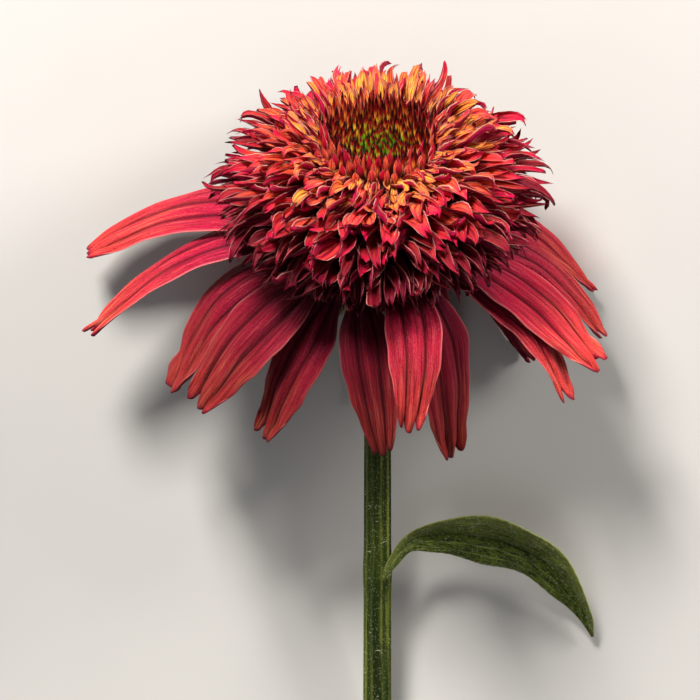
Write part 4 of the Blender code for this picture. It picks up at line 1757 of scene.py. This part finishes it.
        world = local @ np.array(head_frame().to_3x3()).T + np.array(HEAD_CENTRE)
        over = world[:, :, 2] - self.table_gap
        pressed = self.press * over.clip(-4.0, 0.0)
        world[:, :, 2] = self.table_gap + np.where(over > 0.0, over, pressed)
        return world * MM, np.stack([u, v], axis=-1), deep

    def build(self, material: bpy.types.Material) -> None:
        """Build the ray and tie it to its solid.

        Args:
            material: The finish.
        """
        places, grain, deep = self.surface()
        # each ray carries its painted light and shade, and the depth of its grooves, which the
        # finish darkens as painted shade
        marks = {"tone": self.ray.tone, "tint": self.number / len(RAYS), "deep": deep}
        made = sheet(f"ray_{self.number:02d}", places, grain, self.thickness, marks)
        dress(made, material, "crimson_rays", f"ray_floret_{self.number:02d}")


@dataclass
class Stem:
    """The ribbed and hairy stem, from the cup to the cut end.

    A swell gives its height beside the radius and its reach along the stem. A
    ring of the cut gives its size, how much pith shows in it and its place from
    the end of the stem.
    """

    neck: float = -20.0
    length: float = 98.0
    neck_radius: float = 2.35
    cut_radius: float = 2.65
    bend: float = 22.0
    bend_steps: int = 12
    sink: float = 0.3
    ribs: int = 10
    groove: float = 0.13
    fine_waves: Pair = (0.012, 0.01)
    around: int = 120
    stations: int = 120
    leaf_node: float = 58.4
    node_swell: Pair = (0.06, 3.0)
    neck_swell: Pair = (0.12, 2.5)
    cut_rings: tuple[Triple, ...] = (
        (0.93, 0.1, -0.15), (0.7, 0.5, -0.3), (0.4, 0.8, -0.5), (0.12, 1.0, -0.55))
    hairs: Hairs = Hairs(4.2, 0.5, 1.7, 34.0, 0.075, 3)
    seed: int = 5

    def way(self, slope: float) -> Vector:
        """Return the heading down the stem where it has a slope in radians."""
        return Vector((0.0, -math.cos(slope), -math.sin(slope)))

    def start(self) -> Vector:
        """Return where the stem meets the cup."""
        return HEAD_CENTRE + self.way(math.radians(HEAD_TILT)) * -self.neck

    def slope(self) -> float:
        """Find the slope that brings the cut end to the table.

        Returns:
            The slope, in radians.
        """
        drop = self.bend * math.sin(math.radians(HEAD_TILT)) / 2.0
        low = self.cut_radius - self.sink
        return math.asin((self.start().z - low - drop) / (self.length - self.bend / 2.0))

    def middle(self, distance: float) -> Vector:
        """Walk down the middle line.

        Args:
            distance: How far, from the cup.

        Returns:
            The place there.
        """
        tilt, slope = math.radians(HEAD_TILT), self.slope()
        bent = min(distance, self.bend)
        place = self.start()
        for index in range(self.bend_steps):
            share = (index + 0.5) / self.bend_steps * bent / self.bend
            place += self.way(tilt + (slope - tilt) * share) * bent / self.bend_steps
        return place + self.way(slope) * (distance - bent)

    def ring(self, distance: float, size: float, angle: np.ndarray,
             phases: np.ndarray) -> list[Vector]:
        """Shape one ring of the skin.

        Args:
            distance: How far down the stem it lies.
            size: Its size beside the full stem's.
            angle: The places round it, in radians.
            phases: Where its fine waves start.

        Returns:
            Its places, in millimetres.
        """
        centre = self.middle(distance)
        ahead = (self.middle(distance + 0.5) - self.middle(distance - 0.5)).normalized()
        side = Vector((1.0, 0.0, 0.0))
        upward = side.cross(ahead)
        share = distance / self.length
        radius = self.neck_radius + (self.cut_radius - self.neck_radius) * share
        ridge = 0.5 + 0.5 * np.cos(self.ribs * angle)
        fine = (self.fine_waves[0] * np.sin(37.0 * angle + phases[0])
                + self.fine_waves[1] * np.sin(5.0 * share + 3.0 * angle + phases[1]))
        swell = sum(height * math.exp(-((distance - at) / reach) ** 2) for at, (height, reach)
                    in ((self.leaf_node, self.node_swell), (0.0, self.neck_swell)))
        out = radius * size * (1.0 + swell + fine - self.groove * (1.0 - ridge) ** 0.8)
        return [centre + side * float(r * math.cos(a)) + upward * float(r * math.sin(a))
                for a, r in zip(angle, out)]

    def build(self, grower: Grower) -> None:
        """Build the skin, the cut face and the hairs.

        Args:
            grower: Makes the florets, bracts and hairs.
        """
        phases = np.random.default_rng(self.seed).uniform(0.0, 6.0, 4)
        angle = np.linspace(0.0, FULL_TURN, self.around, endpoint=False)
        rings = [(float(distance), 1.0, 0.0)
                 for distance in np.linspace(0.0, self.length, self.stations)]
        rings += [(self.length + dip, size, pith) for size, pith, dip in self.cut_rings]
        places, marks = [], []
        for distance, size, pith in rings:
            places += [(p.x * MM, p.y * MM, max(0.0, p.z * MM))
                       for p in self.ring(distance, size, angle, phases)]
            marks += [(a / FULL_TURN, distance / self.length * 40.0, pith) for a in angle]
        n, last = self.around, (len(rings) - 1) * self.around
        faces = [(low + k, low + (k + 1) % n, low + n + (k + 1) % n, low + n + k)
                 for low in range(0, last, n) for k in range(n)]
        faces.append(tuple(reversed(range(n))))
        faces.append(tuple(range(last, last + n)))
        skin = mesh_object("stem_skin", places, faces, {"grain": np.array(marks)})
        dress(skin, GreenFinish().build(), "stem_green", "stem")
        pale = PlainFinish("stem_hair", hue("d2d0b0"), hue("a8a888"), roughness=0.5).build()
        dress(grower.bristle("stem_hairs", skin, self.hairs, pale), pale, "stem_green")


@dataclass
class Leaf:
    """The leaf: folded along its midrib, veined, with a waved rough edge.

    A station gives the place of the middle line from the stem's node, and the
    leaf's width there.
    """

    stations: tuple[tuple[float, float, float, float], ...] = (
        (0.9, -1.1, 2.35, 0.9), (2.7, 2.0, 1.7, 2.0), (5.6, 5.6, 1.1, 3.4), (10.2, 7.2, 0.9, 7.0),
        (17.6, 6.8, 0.4, 10.0), (23.6, 5.3, -0.8, 10.4), (30.2, 1.5, -2.8, 8.8),
        (35.2, -4.2, -4.8, 6.0), (38.3, -9.6, -6.0, 3.0), (39.6, -13.9, -6.7, 0.5))
    facing: float = 24.0
    fold: float = 0.9
    rows: int = 150
    columns: int = 41
    thickness: float = 0.34
    teeth: float = 34.0
    tooth_height: float = 0.025
    wave_height: float = 0.45
    quilt_height: float = 0.13
    midrib_depth: float = 0.40
    side_vein: float = 0.36
    side_vein_depth: float = 0.14
    hairs: Hairs = Hairs(3.5, 0.2, 0.55, 50.0, 0.09, 4)

    def smooth(self, share: float) -> Vector:
        """Walk along a smooth curve through all the stations.

        Args:
            share: How far, from 0 to 1.

        Returns:
            The place there and the width, as w.
        """
        points = [Vector(p) for p in self.stations]
        scaled = min(1.0, max(0.0, share)) * (len(points) - 1)
        index = min(int(scaled), len(points) - 2)
        t = scaled - index
        start, end = points[index], points[index + 1]
        before = points[index - 1] if index else 2.0 * start - end
        after = points[index + 2] if index + 2 < len(points) else 2.0 * end - start
        curve = 2.0 * before - 5.0 * start + 4.0 * end - after
        cubic = 3.0 * start - before - 3.0 * end + after
        return 0.5 * (2.0 * start + (end - before) * t + curve * t * t + cubic * t ** 3)

    def surface(self, stem: Stem) -> tuple[np.ndarray, np.ndarray]:
        """Shape the middle sheet.

        Args:
            stem: The stem that carries the leaf.

        Returns:
            Its places, in metres, and their grain.
        """
        node = stem.middle(stem.leaf_node)
        u = np.linspace(-1.0, 1.0, self.columns)
        out = np.abs(u)
        places = np.zeros((self.rows, self.columns, 3))
        for row, share in enumerate(np.linspace(0.0, 1.0, self.rows)):
            station = self.smooth(share)
            step = self.smooth(share + 0.01) - self.smooth(share - 0.01)
            way = step.to_3d().normalized()
            facing = math.radians(self.facing) * float(ease(share / 0.3))
            side = Matrix.Rotation(facing, 3, way) @ way.cross(UP).normalized()
            upward = side.cross(way).normalized()
            body = float(ease(share / 0.35) * ease((1.0 - share) / 0.15))
            saw = (share * self.teeth) % 1.0
            half = station.w / 2.0 * (1.0 + self.tooth_height * saw * body)
            wave = self.wave_height * np.sin(26.0 * share + 0.8 * np.sign(u)) * u * u
            quilt = self.quilt_height * np.sin(62.0 * share - 9.0 * out) * np.sin(math.pi * out)
            rib = (self.midrib_depth * np.exp(-(u / 0.06) ** 2)
                   + self.side_vein_depth * np.exp(-((out - self.side_vein) / 0.05) ** 2))
            rise = (self.fold * out ** 0.8 + wave + quilt - rib) * body
            spot = node + station.to_3d()
            places[row] = [spot + side * float(x) + upward * float(y)
                           for x, y in zip(u * half, rise)]
        grain = np.stack(np.meshgrid(u, np.linspace(0.0, 1.0, self.rows)), axis=-1)
        return places * MM, grain

    def build(self, grower: Grower, stem: Stem) -> None:
        """Build the blade and its hairs.

        Args:
            grower: Makes the florets, bracts and hairs.
            stem: The stem that carries the leaf.
        """
        places, grain = self.surface(stem)
        blade = sheet("leaf_blade", places[:, ::-1], grain[:, ::-1], self.thickness, {})
        dress(blade, LeafFinish().build(), "leaf_green", "leaf")
        pale = PlainFinish("leaf_hair", hue("c9cda8"), hue("a8ad88"), roughness=0.4).build()
        dress(grower.bristle("leaf_hairs", blade, self.hairs, pale), pale, "leaf_green")


@dataclass
class PhotoCamera:
    """A camera that looks down on the flower as the photograph shows it.

    Its scale is in millimetres to a pixel.
    """

    elevation: float = 78.0
    scale: float = 0.18
    distance: float = 2000.0
    frame_size: float = 700.0
    bloom_pixel: Pair = (378.0, 190.0)
    sensor: float = 36.0

    def build(self) -> None:
        """Create the camera and make it the scene's own."""
        rise = math.radians(self.elevation)
        back = Vector((0.0, math.cos(rise), math.sin(rise)))
        upward = Vector((0.0, math.sin(rise), -math.cos(rise)))
        right = Vector((1.0, 0.0, 0.0))
        middle = self.frame_size / 2.0
        aim = (HEAD_CENTRE - right * (self.bloom_pixel[0] - middle) * self.scale
               - upward * (middle - self.bloom_pixel[1]) * self.scale)
        data = bpy.data.cameras.new("photo_camera")
        data.sensor_width = self.sensor
        depth = self.distance - (HEAD_CENTRE - aim).dot(back)
        data.lens = self.sensor * (depth / self.scale) / self.frame_size
        data.clip_start = 0.01
        camera = bpy.data.objects.new("photo_camera", data)
        bpy.context.scene.collection.objects.link(camera)
        turn = Matrix((right, upward, back)).transposed()
        camera.matrix_world = Matrix.Translation((aim + back * self.distance) * MM) @ turn.to_4x4()
        bpy.context.scene.camera = camera


@dataclass(frozen=True)
class Lamp:
    """One soft lamp: where it stands and how large it is, in metres, and its watts."""

    name: str
    place: Triple
    size: float
    power: float
    colour: Colour = (1.0, 1.0, 1.0)


@dataclass
class Studio:
    """The table, with its size in metres, the lamps and the soft light of the room."""

    lamps: tuple[Lamp, ...] = (
        Lamp("key_lamp", (-0.22, 0.62, 0.48), 0.20, 11.5, (1.0, 0.97, 0.93)),
        Lamp("side_lamp", (0.60, 0.40, 0.30), 0.20, 4.6, (1.0, 0.96, 0.92)),
        Lamp("fill_lamp", (-0.30, -0.35, 0.85), 0.6, 0.8, (0.94, 0.97, 1.0)),
    )
    room: float = 0.15
    room_colour: Colour = (0.96, 0.98, 1.0)
    table_half: float = 3.0

    def build(self) -> None:
        """Build the table, the lamps and the room's light."""
        signs = ((-1.0, -1.0), (1.0, -1.0), (1.0, 1.0), (-1.0, 1.0))
        corners = [(x * self.table_half, y * self.table_half, 0.0) for x, y in signs]
        table = mesh_object("table_top", corners, [(0, 1, 2, 3)])
        pale = PlainFinish("table_top", hue("cac7c3"), hue("c4c1bd"), 0.75, 6.0, 0.02)
        table.data.materials.append(pale.build())
        aim = HEAD_CENTRE * MM
        for lamp in self.lamps:
            data = bpy.data.lights.new(lamp.name, "AREA")
            data.size = lamp.size
            data.energy = lamp.power
            data.color = lamp.colour
            made = bpy.data.objects.new(lamp.name, data)
            made.location = lamp.place
            made.rotation_euler = (Vector(lamp.place) - aim).to_track_quat("Z", "Y").to_euler()
            bpy.context.scene.collection.objects.link(made)
        world = bpy.data.worlds.new("room")
        world.use_nodes = True
        sky = world.node_tree.nodes["Background"]
        sky.inputs["Color"].default_value = (*self.room_colour, 1.0)
        sky.inputs["Strength"].default_value = self.room
        bpy.context.scene.world = world


def main() -> None:
    """Build every piece in order and report it."""
    logging.basicConfig(level=logging.INFO, format="%(message)s")
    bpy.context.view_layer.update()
    grower = Grower(BladeTree(), HairTree())
    for head_piece in (Cushion(), Crater(), Involucre()):
        head_piece.build(grower)
    ray_finish = RayFinish().build()
    for number, ray in enumerate(RAYS, start=1):
        RayFloret(number, ray).build(ray_finish)
    stem = Stem()
    stem.build(grower)
    Leaf().build(grower, stem)
    Studio().build()
    PhotoCamera().build()
    bpy.context.scene.view_settings.view_transform = "Standard"


if __name__ == "__main__":
    main()
